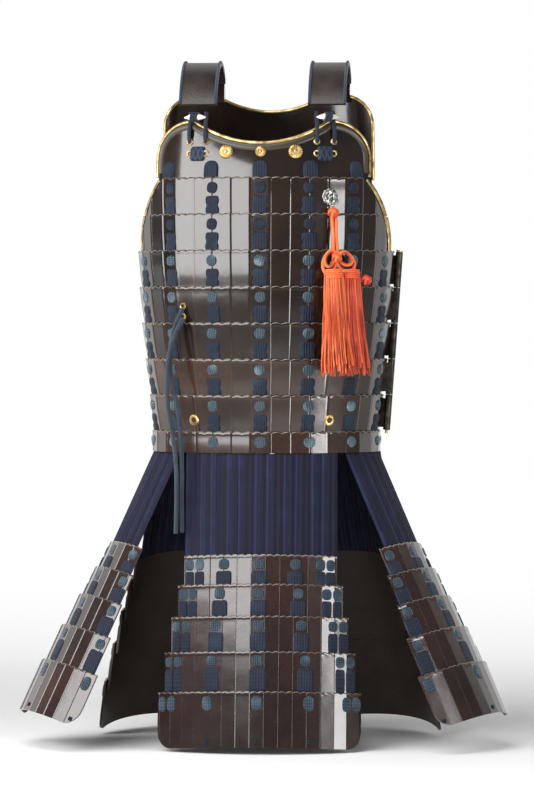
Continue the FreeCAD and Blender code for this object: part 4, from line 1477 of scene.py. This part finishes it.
    def band(self) -> bpy.types.Object:
        """Build the suspension laces as strands side by side.

        Returns:
            The strands as one piece.
        """
        node = f"skirt_{self.name}_band"
        inner, _, _, _, foot = self.size(node)
        points = self.local(node)
        half_angle = float(np.arctan2(points[:, 0], self.radius - points[:, 1]).max())
        count = max(4, round(2 * half_angle * self.radius / self.strand_pitch))
        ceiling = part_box(node)[1][2] / MM
        matrix = np.array(self.frame)
        strands = []
        for number in range(count):
            angle = half_angle * (2 * (number + 0.5) / count - 1)
            wander = 0.35 * math.sin(number * 2.4)
            radius = inner + 1.5 + 0.35 * (number % 2) + 0.2 * math.sin(number * 1.7)
            y = self.radius - radius * math.cos(angle)
            top = (ceiling - matrix[2, 3] / MM - matrix[2, 1] * y) / matrix[2, 2] - 0.2
            heights = np.linspace(top, foot, 22)
            sway = (wander * np.sin((heights - foot) / 37.0 + number)) / radius
            path = self.place(angle + sway, radius + 0 * heights, heights)
            outwards = self.frame.to_3x3() @ Vector((math.sin(angle), -math.cos(angle), 0))
            width = self.strand_half * half_angle * self.radius * 2 / count / self.strand_pitch
            silk = self.finishes.band[(number * 7 + number // 5) % 3]
            strands.append(tube(f"strand_{number}", path, width * (1 + 0.06 * math.sin(number * 3.1)),
                                silk, 10, 0.42, outwards, thread=2.6))
        return join(f"{node}_dressed", strands)

    def build(self) -> None:
        """Dress the panel."""
        first = f"skirt_{self.name}"
        settle(self.band(), first, "suspension_lacing", f"{first}_band")
        for rank in range(1, LAST_RANK + 1):
            body = first if rank == 1 else f"{first}_rank_{rank}"
            plate, laces = self.lame(rank), self.lacing(rank)
            settle(plate, body, "skirt_lacquer", f"{first}_lame_{rank}")
            settle(laces, body, "blue_cord")


@dataclass
class Ornaments:
    """Rosettes, eyelets, the ring plate, the tassel and the shoulder cords of the front half."""

    finishes: Finishes
    trunk: Trunk
    joints: dict[str, dict]
    petals: int = 16
    rosette_across: float = 40
    rosette_drop: float = 105
    rosette_radius: float = 8.5
    small_rosette_radius: float = 6.5
    eyelet_radius: float = 4.2
    eyelet_bore: float = 2.2
    shoulder_across: tuple[int, int] = (64, 83)
    shoulder_drops: tuple[int, int] = (93, 107)
    waist_eyelet_spot: tuple[float, float] = (78, 415)
    hang_eyelet_spot: tuple[float, float] = (-90.5, 283)
    hang_eyelet_pitch: float = 12
    ring_plate_spot: tuple[float, float] = (79, 157)
    eye_stand: float = 9.5
    eye_radius: float = 3.4
    ring_radius: float = 5.5
    fringe_length: float = 120.0
    fringe_rings: tuple[tuple[int, float, float], ...] = ((64, 9.2, 17.2), (46, 6.6, 12.4),
                                                          (24, 3.4, 7.0))
    toggle_across: float = 73.5
    toggle_drop: float = 66
    toggle_half: float = 14
    toggle_stand: float = 8.0
    shoulder_cord: float = 2.4

    def spot(self, row: int, x: float, drop: float, out: float = 0.2) -> Matrix:
        """Give the frame of a spot on the front."""
        return self.trunk.seat(row, Half.FRONT, self.trunk.across(row, x, drop), drop, out)

    def rosette(self, name: str, place: Matrix, radius: float) -> bpy.types.Object:
        """Build a chrysanthemum with scalloped petals.

        Args:
            name: the piece's name.
            place: its frame.
            radius: its radius.

        Returns:
            The rosette.
        """
        def petal(size: float, angle: float) -> tuple[float, float]:
            """Scallop the edge and hollow the seams between petals.

            Args:
                size: radius at the place.
                angle: angle round the middle.

            Returns:
                Share of the radius, and rise.
            """
            wave = abs(math.cos(self.petals * angle / 2))
            depth = max(0.0, (size - radius * 0.3) / (radius * 0.7))
            return 1 - 0.07 * depth * (1 - wave) ** 2, -0.75 * depth * (1 - wave) ** 2
        outline = [(0.01, 3.0), (radius * 0.16, 2.9), (radius * 0.25, 2.4), (radius * 0.28, 1.8),
                   (radius * 0.34, 2.0), (radius * 0.6, 2.3), (radius * 0.85, 2.0),
                   (radius * 0.97, 1.3), (radius, 0.6), (radius * 0.97, 0.0), (0.01, 0.0)]
        return lathe(name, outline, self.finishes.gilt, place, self.petals * 8, petal)

    def eyelet(self, name: str, place: Matrix) -> bpy.types.Object:
        """Build a rolled eyelet.

        Args:
            name: the piece's name.
            place: its frame.

        Returns:
            The eyelet.
        """
        radius, bore = self.eyelet_radius, self.eyelet_bore
        outline = [(bore, 0.0), (bore, 1.1), (bore + 0.5, 1.6), ((bore + radius) / 2, 1.75),
                   (radius - 0.5, 1.3), (radius, 0.5), (radius - 0.1, 0.0), (bore, 0.0)]
        return lathe(name, outline, self.finishes.gilt, place, 28)

    def waist_eyelet(self, name: str, place: Matrix) -> bpy.types.Object:
        """Build a waist eyelet with its neck through the row."""
        outline = [(3.2, -3.3), (3.2, 1.0), (3.6, 1.55), (4.8, 1.7), (6.1, 1.2), (6.5, 0.5),
                   (6.4, 0.0), (4.4, 0.0), (4.4, -3.3), (3.2, -3.3)]
        return lathe(name, outline, self.finishes.gilt, place, 32)

    def studs(self) -> bpy.types.Object:
        """Build every gilt stud and eyelet.

        Returns:
            All of them as one piece.
        """
        made = [self.rosette(f"rosette_{tag}", self.spot(0, x, self.rosette_drop, 1.2), radius)
                for tag, x, radius in (("right", -self.rosette_across, self.rosette_radius),
                                       ("middle", 0, self.small_rosette_radius),
                                       ("left", self.rosette_across, self.rosette_radius))]
        for hand in (-1, 1):
            across, drop = self.waist_eyelet_spot
            made.append(self.waist_eyelet(f"waist_{hand}", self.spot(7, hand * across, drop, 0.5)))
            for drop in self.shoulder_drops:
                for x in self.shoulder_across:
                    made.append(self.eyelet(f"shoulder_{hand}_{x}_{drop}",
                                            self.spot(0, hand * x, drop, 0.9)))
        across, drop = self.hang_eyelet_spot
        for number in range(2):
            place = self.spot(4, across, drop + self.hang_eyelet_pitch * number, 0.5)
            made.append(self.eyelet(f"hang_{number}", place))
        return join("gilt_studs_dressed", made)

    def ring_plate(self) -> bpy.types.Object:
        """Build the silver rosette, its post and its eye.

        Returns:
            The ring plate.
        """
        place = self.spot(1, *self.ring_plate_spot)

        def petal(size: float, angle: float) -> tuple[float, float]:
            """Shape eight broad petals.

            Args:
                size: radius at the place.
                angle: angle round the middle.

            Returns:
                Share of the radius, and rise.
            """
            wave = abs(math.cos(4 * angle))
            depth = max(0.0, (size - 3.0) / 7.0)
            return 1 - 0.1 * depth * (1 - wave), -0.6 * depth * (1 - wave) ** 2
        outline = [(0.01, 3.2), (1.6, 3.1), (2.8, 2.2), (3.2, 1.6), (6.0, 2.3), (8.6, 2.1),
                   (9.8, 1.2), (10.0, 0.4), (9.7, 0.0), (0.01, 0.0)]
        disc = lathe("ring_disc", outline, self.finishes.silver, place, 64, petal)
        post = lathe("ring_post", [(0.01, 6.2), (1.5, 6.2), (1.6, 3.0), (1.9, 2.2), (1.9, 0.0),
                                   (0.01, 0.0)], self.finishes.silver, place, 20)
        eye = carried(place, ((0, -self.eye_stand + self.eye_radius * math.cos(a),
                               self.eye_radius * math.sin(a)) for a in steps_round(32)))
        pieces = [disc, post, tube("ring_eye", eye, 1.15, self.finishes.silver, 10, closed=True)]
        for angle in range(8):
            a = math.tau * (angle + 0.5) / 8
            bead = place @ Matrix.Translation(Vector((8.2 * math.cos(a), -1.2, 8.2 * math.sin(a))) * MM)
            pieces.append(lathe(f"bead_{angle}", [(0.01, 1.6), (0.7, 1.45), (1.2, 0.9), (1.4, 0.0),
                                                  (0.01, 0.0)], self.finishes.silver, bead, 12))
        return join("ring_plate_dressed", pieces)

    def tassel_frame(self) -> Matrix:
        """Give the frame that the ring and the tassel hang in.

        Returns:
            The frame, in metres.
        """
        swing = self.joints["tassel_swing"]
        side = -Vector(swing["axis"])
        yaw = math.atan2(side.y, side.x)
        return (Matrix.Translation(Vector(swing["pos_m"])) @ Matrix.Rotation(yaw, 4, "Z")
                @ Matrix.Rotation(math.radians(-6), 4, "X"))

    def ring(self) -> bpy.types.Object:
        """Build the ring.

        Returns:
            The ring.
        """
        size = self.ring_radius
        path = carried(self.tassel_frame(), ((size * math.sin(a), 0, -size + size * math.cos(a))
                                             for a in steps_round(40)))
        return tube("tassel_ring_dressed", path, 1.25, self.finishes.silver, 12, closed=True)

    def knot(self, name: str, frame: Matrix, at: Vector, radius: float,
             material: bpy.types.Material) -> bpy.types.Object:
        """Build a ball of crossing cords.

        Args:
            name: the piece's name.
            frame: the tassel's frame.
            at: its middle, in millimetres.
            radius: its radius.
            material: its silk.

        Returns:
            The knot.
        """
        strands = []
        for number, tilt in enumerate((0.0, 0.8, -0.8, 1.57)):
            ring = Matrix.Rotation(tilt, 3, "Y") @ Matrix.Rotation(0.3 * number, 3, "Z")
            path = carried(frame, (at + ring @ (Vector((math.cos(a), 0.9 * math.sin(a),
                                                        0.35 * math.sin(2 * a))) * radius * 0.72)
                                   for a in steps_round(36)))
            strands.append(tube(f"{name}_{number}", path, radius * 0.33, material, 8, closed=True))
        return join(name, strands)

    def thread(self) -> bpy.types.Object:
        """Make one silk thread, 1 mm thick and 1 mm long for every size given to it.

        Returns:
            The template.
        """
        sides, joins = 5, 14
        turn = steps_round(sides)
        points, uvs = [], []
        for row in np.linspace(0, 1, joins + 1):
            sway = (1.5 * math.sin(9 * row) * row, 1.3 * math.sin(7 * row + 1) * row)
            for angle in turn:
                points.append((math.cos(angle) + sway[0], math.sin(angle) + sway[1], -row))
                uvs.append((angle / math.tau, row * 5))
        faces = [(sides * n + k, sides * (n + 1) + k, sides * (n + 1) + (k + 1) % sides,
                  sides * n + (k + 1) % sides) for n in range(joins) for k in range(sides)]
        faces += [tuple(range(sides)), tuple(sides * joins + k for k in range(sides))]
        return outward(mesh_object("silk_thread", np.array(points) * MM, faces, [], np.array(uvs)))

    def fringe(self, name: str, frame: Matrix, middle: Vector, length: float, seed: int,
               material: bpy.types.Material) -> bpy.types.Object:
        """Build one tassel skirt of hanging threads.

        Args:
            name: the piece's name.
            frame: the tassel's frame.
            middle: where its top is, in millimetres.
            length: how far it hangs.
            seed: seed of its disorder.
            material: its silk.

        Returns:
            The tassel skirt.
        """
        chance = np.random.default_rng(seed)
        threads = Repeater(name, self.thread(), material)
        for count, neck, hem in self.fringe_rings:
            for number in range(count):
                angle = math.tau * (number + chance.uniform(-0.3, 0.3)) / count
                out = Vector((1.12 * math.cos(angle), 0.72 * math.sin(angle), 0))
                run = length * chance.uniform(0.9, 1.02)
                reach = hem * chance.uniform(0.84, 1.05)
                start = middle + out * neck
                fall = middle + out * reach - Vector((0, 0, run)) - start
                turn = Vector((0, 0, -1)).rotation_difference(fall).to_matrix().to_4x4()
                spin = Matrix.Rotation(chance.uniform(0, math.tau), 4, "Z")
                girth = chance.uniform(0.7, 1.05)
                threads.add(frame @ Matrix.Translation(start * MM) @ turn @ spin,
                            (girth, girth, fall.length))
        return threads.build()

    def loop(self, name: str, frame: Matrix, centre: tuple[float, float, float], wide: float,
             tall: float, tilt: float, material: bpy.types.Material) -> list[bpy.types.Object]:
        """Build one loop of the bow as two cords side by side.

        Args:
            name: the piece's name.
            frame: the tassel's frame.
            centre: its middle, in millimetres.
            wide: half width.
            tall: half height.
            tilt: how far it leans, in radians.
            material: its silk.

        Returns:
            The two cords.
        """
        made = []
        for number, grow in enumerate((1.0, 0.7)):
            path = []
            for a in steps_round(48):
                x, z = wide * grow * math.sin(a), tall * grow * math.cos(a)
                x, z = x * math.cos(tilt) - z * math.sin(tilt), x * math.sin(tilt) + z * math.cos(tilt)
                path.append((centre[0] + x, centre[1] - 1.3 * math.cos(2 * a) - number * 0.6,
                             centre[2] + z + tall * (1 - grow)))
            made.append(tube(f"{name}_{number}", carried(frame, path), 2.1, material, 10, closed=True))
        return made

    def tassel(self) -> bpy.types.Object:
        """Build the tassel: knot, doubled stem, bow, collars, two skirts and a pompon.

        Returns:
            The tassel as one piece.
        """
        frame, orange, rust = self.tassel_frame(), self.finishes.orange, self.finishes.rust
        made = [self.knot("tassel_knot", frame, Vector((0, 0, -19.1)), 6.6, orange)]
        for hand in (-1, 1):
            path = carried(frame, ((hand * (2.3 + 0.3 * math.sin(z / 6)), 0.3 * hand, z)
                                   for z in np.linspace(-22, -70, 14)))
            made.append(tube(f"stem_{hand}", path, 2.25, orange, 10))
        made += self.loop("bow_left", frame, (-7.5, -0.5, -77), 7.5, 14, -0.35, orange)
        made += self.loop("bow_right", frame, (12.5, -0.5, -76), 9.5, 12, 0.75, orange)
        made.append(self.knot("bow_knot", frame, Vector((1.5, -1.0, -72)), 6.0, orange))
        for number, (x, silk) in enumerate(((-3.5, orange), (18.5, rust))):
            depth = -1.0 if number == 0 else 1.5
            for band in range(5):
                z = -86.5 - 2.1 * band
                size = 10.4 + 0.5 * math.sin(band * 1.4)
                ring = carried(frame, ((x + size * math.cos(a), depth + 0.8 * size * math.sin(a), z)
                                       for a in steps_round(32)))
                made.append(tube(f"collar_{number}_{band}", ring, 1.3, silk, 8, closed=True))
            made.append(self.fringe(f"fringe_{number}", frame, Vector((x, depth, -86.0)),
                                    self.fringe_length, 7 + number, silk))
        path = carried(frame, ((-4, -3, -90), (2, -6, -88.5), (9, -6.5, -88), (14, -5, -88.5),
                               (18.5, -3, -90)))
        made.append(tube("collar_tie", path, 2.3, orange, 10))
        made.append(self.knot("pompon", frame, Vector((38.0, 0.0, -97)), 6.2, self.finishes.red))
        return join("tassel_dressed", made)

    def shoulder_cords(self) -> bpy.types.Object:
        """Build the shoulder cords, the lace patches and the toggles.

        Returns:
            All of them as one piece.
        """
        made: list[bpy.types.Object] = []
        patch = Repeater("lace_patches", pillow("patch_pad", 6.0), self.finishes.dark_cord)
        for hand in (-1, 1):
            middle = hand * self.toggle_across
            patch.add(self.spot(0, middle, self.shoulder_drops[1], 1.0), (9.8, 2.6, 8.6))
            for x in self.shoulder_across:
                place = self.spot(0, hand * x, self.shoulder_drops[0])
                rise = [(0, -0.6, -1.0), (0, -2.6, 2.0), (0, -4.0, 8.0), (0, -4.05, 16), (0, -4.05, 25),
                        (0, -4.05, 34)]
                made.append(tube(f"rise_{hand}_{x}", carried(place, rise), self.shoulder_cord,
                                 self.finishes.dark_cord, 10))
            place = self.spot(0, middle, self.toggle_drop, 0.15)
            steps = np.linspace(-1, 1, 25)
            bar = carried(place, ((self.toggle_half * s, -self.toggle_stand, 0.4 * math.cos(3 * s))
                                  for s in steps))
            girth = 3.5 * (1 - np.abs(steps) ** 1.7) + 0.7
            made.append(tube(f"toggle_{hand}", bar, girth, self.finishes.bone, 14))
            for wrap in (-1, 0, 1):
                ring = carried(place, ((wrap * 3.2 + 0.8 * math.sin(a),
                                        -self.toggle_stand + 4.5 * math.cos(a), 4.5 * math.sin(a))
                                       for a in steps_round(24)))
                made.append(tube(f"wrap_{hand}_{wrap}", ring, 1.5, self.finishes.dark_cord, 8, closed=True))
        made.append(patch.build())
        return join("shoulder_toggles_dressed", made)

    def build(self) -> None:
        """Dress the ornaments."""
        front = Half.FRONT.body
        settle(self.studs(), front, "gilt", "gilt_studs")
        settle(self.ring_plate(), front, "silver", "ring_plate")
        settle(self.ring(), "tassel_on_ring", "silver", "tassel_ring")
        settle(self.tassel(), "tassel_on_ring", "orange_silk", "tassel")
        settle(self.shoulder_cords(), front, "blue_cord", "shoulder_toggles")


@dataclass
class FreeCord:
    """One of the two cords that hang from the chest."""

    finishes: Finishes
    name: str
    route: tuple[tuple[float, float, float], ...]
    radius: float = 2.6

    def build(self) -> bpy.types.Object:
        """Lay the cord along its route.

        Returns:
            The cord, as a curve.
        """
        curve = bpy.data.curves.new(self.name, "CURVE")
        curve.dimensions = "3D"
        curve.bevel_depth = self.radius * MM
        curve.bevel_resolution = 4
        curve.resolution_u = 10
        curve.use_fill_caps = True
        spline = curve.splines.new("NURBS")
        spline.points.add(len(self.route) - 1)
        for point, place in zip(spline.points, self.route):
            point.co = (*(v * MM for v in place), 1.0)
        spline.order_u = 3
        spline.use_endpoint_u = True
        curve.materials.append(self.finishes.free_cord)
        piece = bpy.data.objects.new(self.name, curve)
        bpy.context.scene.collection.objects.link(piece)
        return piece

    def length(self) -> float:
        """Give the length of the laid cord, in metres.

        Returns:
            The length.
        """
        control = [Vector(p) * MM for p in self.route]
        places = [control[0]]
        for n in range(1, len(control) - 1):
            start = control[0] if n == 1 else (control[n - 1] + control[n]) / 2
            end = control[-1] if n == len(control) - 2 else (control[n] + control[n + 1]) / 2
            for step in range(1, 21):
                t = step / 20
                places.append(start * (1 - t) ** 2 + control[n] * 2 * t * (1 - t) + end * t ** 2)
        return sum((b - a).length for a, b in zip(places, places[1:]))


STRAND_A = ((-91, -96.5, -286), (-99, -99.5, -302), (-106, -99.5, -331), (-104.5, -99.5, -366),
            (-96.5, -99.5, -400), (-92.4, -99.5, -436), (-91.4, -99.8, -474),
            (-91.9, -100.5, -512), (-91.3, -101, -545))
STRAND_B = ((-91, -97.5, -298), (-98.5, -107, -313), (-107.5, -107, -342), (-109, -107, -375),
            (-107, -107, -406), (-101, -107, -436), (-97.4, -107, -468), (-97, -107.5, -506),
            (-98, -108, -546))


@dataclass
class Hardware:
    """The carried-over hinge, straps and back plate, and what is sewn to the straps."""

    finishes: Finishes
    strap_across: float = 75
    strap_half: float = 20.5
    arch_radius: float = 94.6
    arch_middle: tuple[float, float] = (8, -90)
    arch_ends: tuple[float, float] = (-63.5, 36)

    def build(self) -> None:
        """Give the carried-over nodes their finishes."""
        coats = {"hinge_front_leaves": self.finishes.iron, "hinge_back_leaves": self.finishes.iron,
                 "hinge_pin": self.finishes.gilt, "back_top_plate": self.finishes.trunk,
                 "shoulder_strap_left": self.finishes.strap,
                 "shoulder_strap_right": self.finishes.strap}
        for node, coat in coats.items():
            materials = bpy.data.objects[node].data.materials
            materials.clear()
            materials.append(coat)
        for hand, tag in ((-1, "right"), (1, "left")):
            settle(self.piping(hand, tag), f"strap_{tag}", "blue_cord")

    def piping(self, hand: int, tag: str) -> bpy.types.Object:
        """Build the braided edge of one strap.

        Args:
            hand: -1 for the wearer's right, 1 for the left.
            tag: the side in words.

        Returns:
            The two braids as one piece.
        """
        turn = np.radians(np.linspace(*self.arch_ends, 60))
        depth = self.arch_middle[0] + self.arch_radius * np.sin(turn)
        height = self.arch_middle[1] + self.arch_radius * np.cos(turn)
        made = []
        for side in (-1, 1):
            x = hand * self.strap_across + side * self.strap_half
            path = np.stack([np.full(len(turn), float(x)), depth, height], 1)
            made.append(tube(f"piping_{side}", path, 1.7, self.finishes.cord, 8))
        return join(f"strap_{tag}_piping", made)


@dataclass
class Studio:
    """Floor, world, lamps and camera, in metres, degrees and watts."""

    azimuth: float = 3.7
    elevation: float = 1.0
    distance: float = 5.0
    near_face: float = 0.15
    frame_share: float = 0.93
    picture: tuple[int, int] = (534, 800)
    sensor: float = 24.0
    fill: float = 0.12
    mirrored_fill: float = 0.06

    def floor(self, low: float) -> None:
        """Lay a pale floor that curves up into a white backdrop, clear from behind.

        Args:
            low: height of the floor.
        """
        profile = [(-2.4, 0.0), (1.2, 0.0)]
        profile += [(1.2 + math.sin(a), 1.0 - math.cos(a)) for a in np.linspace(0.15, 1.57, 10)]
        profile += [(2.2, 4.0)]
        points = [(x, y, low + z) for y, z in profile for x in (-6.0, 6.0)]
        faces = [(2 * n, 2 * n + 1, 2 * n + 3, 2 * n + 2) for n in range(len(profile) - 1)]
        shade = Shade("studio_paper")
        shade.put(Base_Color=(0.9, 0.9, 0.9, 1.0), Roughness=0.9)
        path = shade.node("ShaderNodeLightPath", {})
        seen = shade.maths("MAXIMUM", path.outputs["Is Camera Ray"], path.outputs["Is Glossy Ray"])
        seen = shade.maths("MAXIMUM", seen, path.outputs["Is Transmission Ray"])
        parts = shade.node("ShaderNodeSeparateXYZ", {0: shade.object_place()})
        far = shade.node("ShaderNodeMapRange", {"Value": parts.outputs[1], "From Min": 0.2,
                                                "From Max": 1.6})
        glow = shade.node("ShaderNodeEmission", {"Strength": 1.0})
        blend = shade.node("ShaderNodeMixShader", {0: shade.maths("MULTIPLY", seen, far.outputs[0])})
        behind = shade.node("ShaderNodeNewGeometry", {}).outputs["Backfacing"]
        clear = shade.node("ShaderNodeBsdfTransparent", {})
        whole = shade.node("ShaderNodeMixShader", {0: behind, 1: blend.outputs[0], 2: clear.outputs[0]})
        output = shade.tree.nodes["Material Output"]
        shade.tree.links.new(shade.shader.outputs[0], blend.inputs[1])
        shade.tree.links.new(glow.outputs[0], blend.inputs[2])
        shade.tree.links.new(whole.outputs[0], output.inputs["Surface"])
        mesh_object("studio_floor", np.array(points), faces, [shade.material])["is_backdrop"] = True

    def world(self) -> None:
        """Light the object evenly and dimly from all round, before a background that looks white."""
        world = bpy.data.worlds.new("studio_world")
        bpy.context.scene.world = world
        world.use_nodes = True
        tree = world.node_tree
        shine = tree.nodes["Background"]
        shine.inputs["Color"].default_value = (0.97, 0.98, 1.0, 1.0)
        path = tree.nodes.new("ShaderNodeLightPath")
        mirrored = tree.nodes.new("ShaderNodeMath")
        mirrored.operation = "MAXIMUM"
        tree.links.new(path.outputs["Is Glossy Ray"], mirrored.inputs[0])
        tree.links.new(path.outputs["Is Transmission Ray"], mirrored.inputs[1])
        soft = tree.nodes.new("ShaderNodeMath")
        soft.operation = "MULTIPLY_ADD"
        tree.links.new(mirrored.outputs[0], soft.inputs[0])
        soft.inputs[1].default_value, soft.inputs[2].default_value = self.mirrored_fill, self.fill
        level = tree.nodes.new("ShaderNodeMath")
        level.operation = "MAXIMUM"
        tree.links.new(path.outputs["Is Camera Ray"], level.inputs[0])
        tree.links.new(soft.outputs[0], level.inputs[1])
        tree.links.new(level.outputs[0], shine.inputs["Strength"])

    def lamp(self, name: str, place: tuple[float, float, float], target: tuple[float, float, float],
             size: tuple[float, float], power: float) -> None:
        """Hang one soft box.

        Args:
            name: the lamp's name.
            place: where it hangs.
            target: what it points at.
            size: its width and height.
            power: its power.
        """
        data = bpy.data.lights.new(name, "AREA")
        data.shape = "RECTANGLE"
        data.size, data.size_y = size
        data.energy = power
        lamp = bpy.data.objects.new(name, data)
        bpy.context.scene.collection.objects.link(lamp)
        lamp.location = place
        lamp.rotation_euler = (Vector(target) - Vector(place)).to_track_quat("-Z", "Y").to_euler()

    def camera(self, low: Vector, high: Vector) -> None:
        """Place the camera at the photograph's angle, far off, with the object filling the frame.

        Args:
            low: lowest corner of the object.
            high: its highest corner.
        """
        middle = (low + high) / 2
        data = bpy.data.cameras.new("studio_camera")
        camera = bpy.data.objects.new("studio_camera", data)
        bpy.context.scene.collection.objects.link(camera)
        turn, rise = math.radians(self.azimuth), math.radians(self.elevation)
        away = Vector((math.sin(turn) * math.cos(rise), -math.cos(turn) * math.cos(rise), math.sin(rise)))
        camera.location = middle + away * self.distance
        camera.rotation_euler = (-away).to_track_quat("-Z", "Y").to_euler()
        data.sensor_fit = "VERTICAL"
        data.sensor_height = self.sensor
        across, down = self.picture
        tall = max(high.z - low.z, (high.x - low.x) * down / across) / self.frame_share
        data.lens = self.sensor * (self.distance - self.near_face) / tall
        data.clip_end = 50.0
        bpy.context.scene.camera = camera

    def build(self, low: Vector, high: Vector) -> None:
        """Set up the whole studio.

        Args:
            low: lowest corner of the object.
            high: its highest corner.
        """
        middle = (low + high) / 2
        self.floor(low.z - 0.004)
        self.world()
        self.lamp("key_box", (-0.85, -0.99, -0.03), (-0.05, -0.1, -0.03), (1.6, 0.8), 28)
        self.lamp("side_box", (1.0, -0.84, -0.45), (0.05, -0.1, -0.45), (0.26, 0.85), 7.5)
        self.lamp("top_box", (-0.5, -1.6, 2.0), tuple(middle), (1.8, 1.0), 40)
        self.camera(low, high)
        bpy.context.scene.view_settings.view_transform = "Standard"


def main() -> None:
    """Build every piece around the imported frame."""
    logging.basicConfig(level=logging.INFO, format="%(message)s")
    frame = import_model()
    frame_low, frame_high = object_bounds()
    joints = {joint["name"]: joint for joint in frame["joints"]}
    finishes = Finishes()
    Studio().build(Vector(frame_low), Vector(frame_high))
    cords = [FreeCord(finishes, "free_cord_a", STRAND_A), FreeCord(finishes, "free_cord_b", STRAND_B)]
    for cord in cords:
        piece = settle(cord.build(), Half.FRONT.body, "blue_cord", "hanging_cords")
        cord.length()
    trunk = Trunk(finishes)
    trunk.build()
    Ornaments(finishes, trunk, joints).build()
    for name, radius, columns in (("center", 165.0, 5), ("right", 100.0, 3), ("left", 100.0, 3),
                                  ("back_right", 124.0, 5), ("back_left", 124.0, 5)):
        SkirtPanel(finishes, name, joints, radius, columns).build()
    Hardware(finishes).build()


if __name__ == "__main__":
    main()
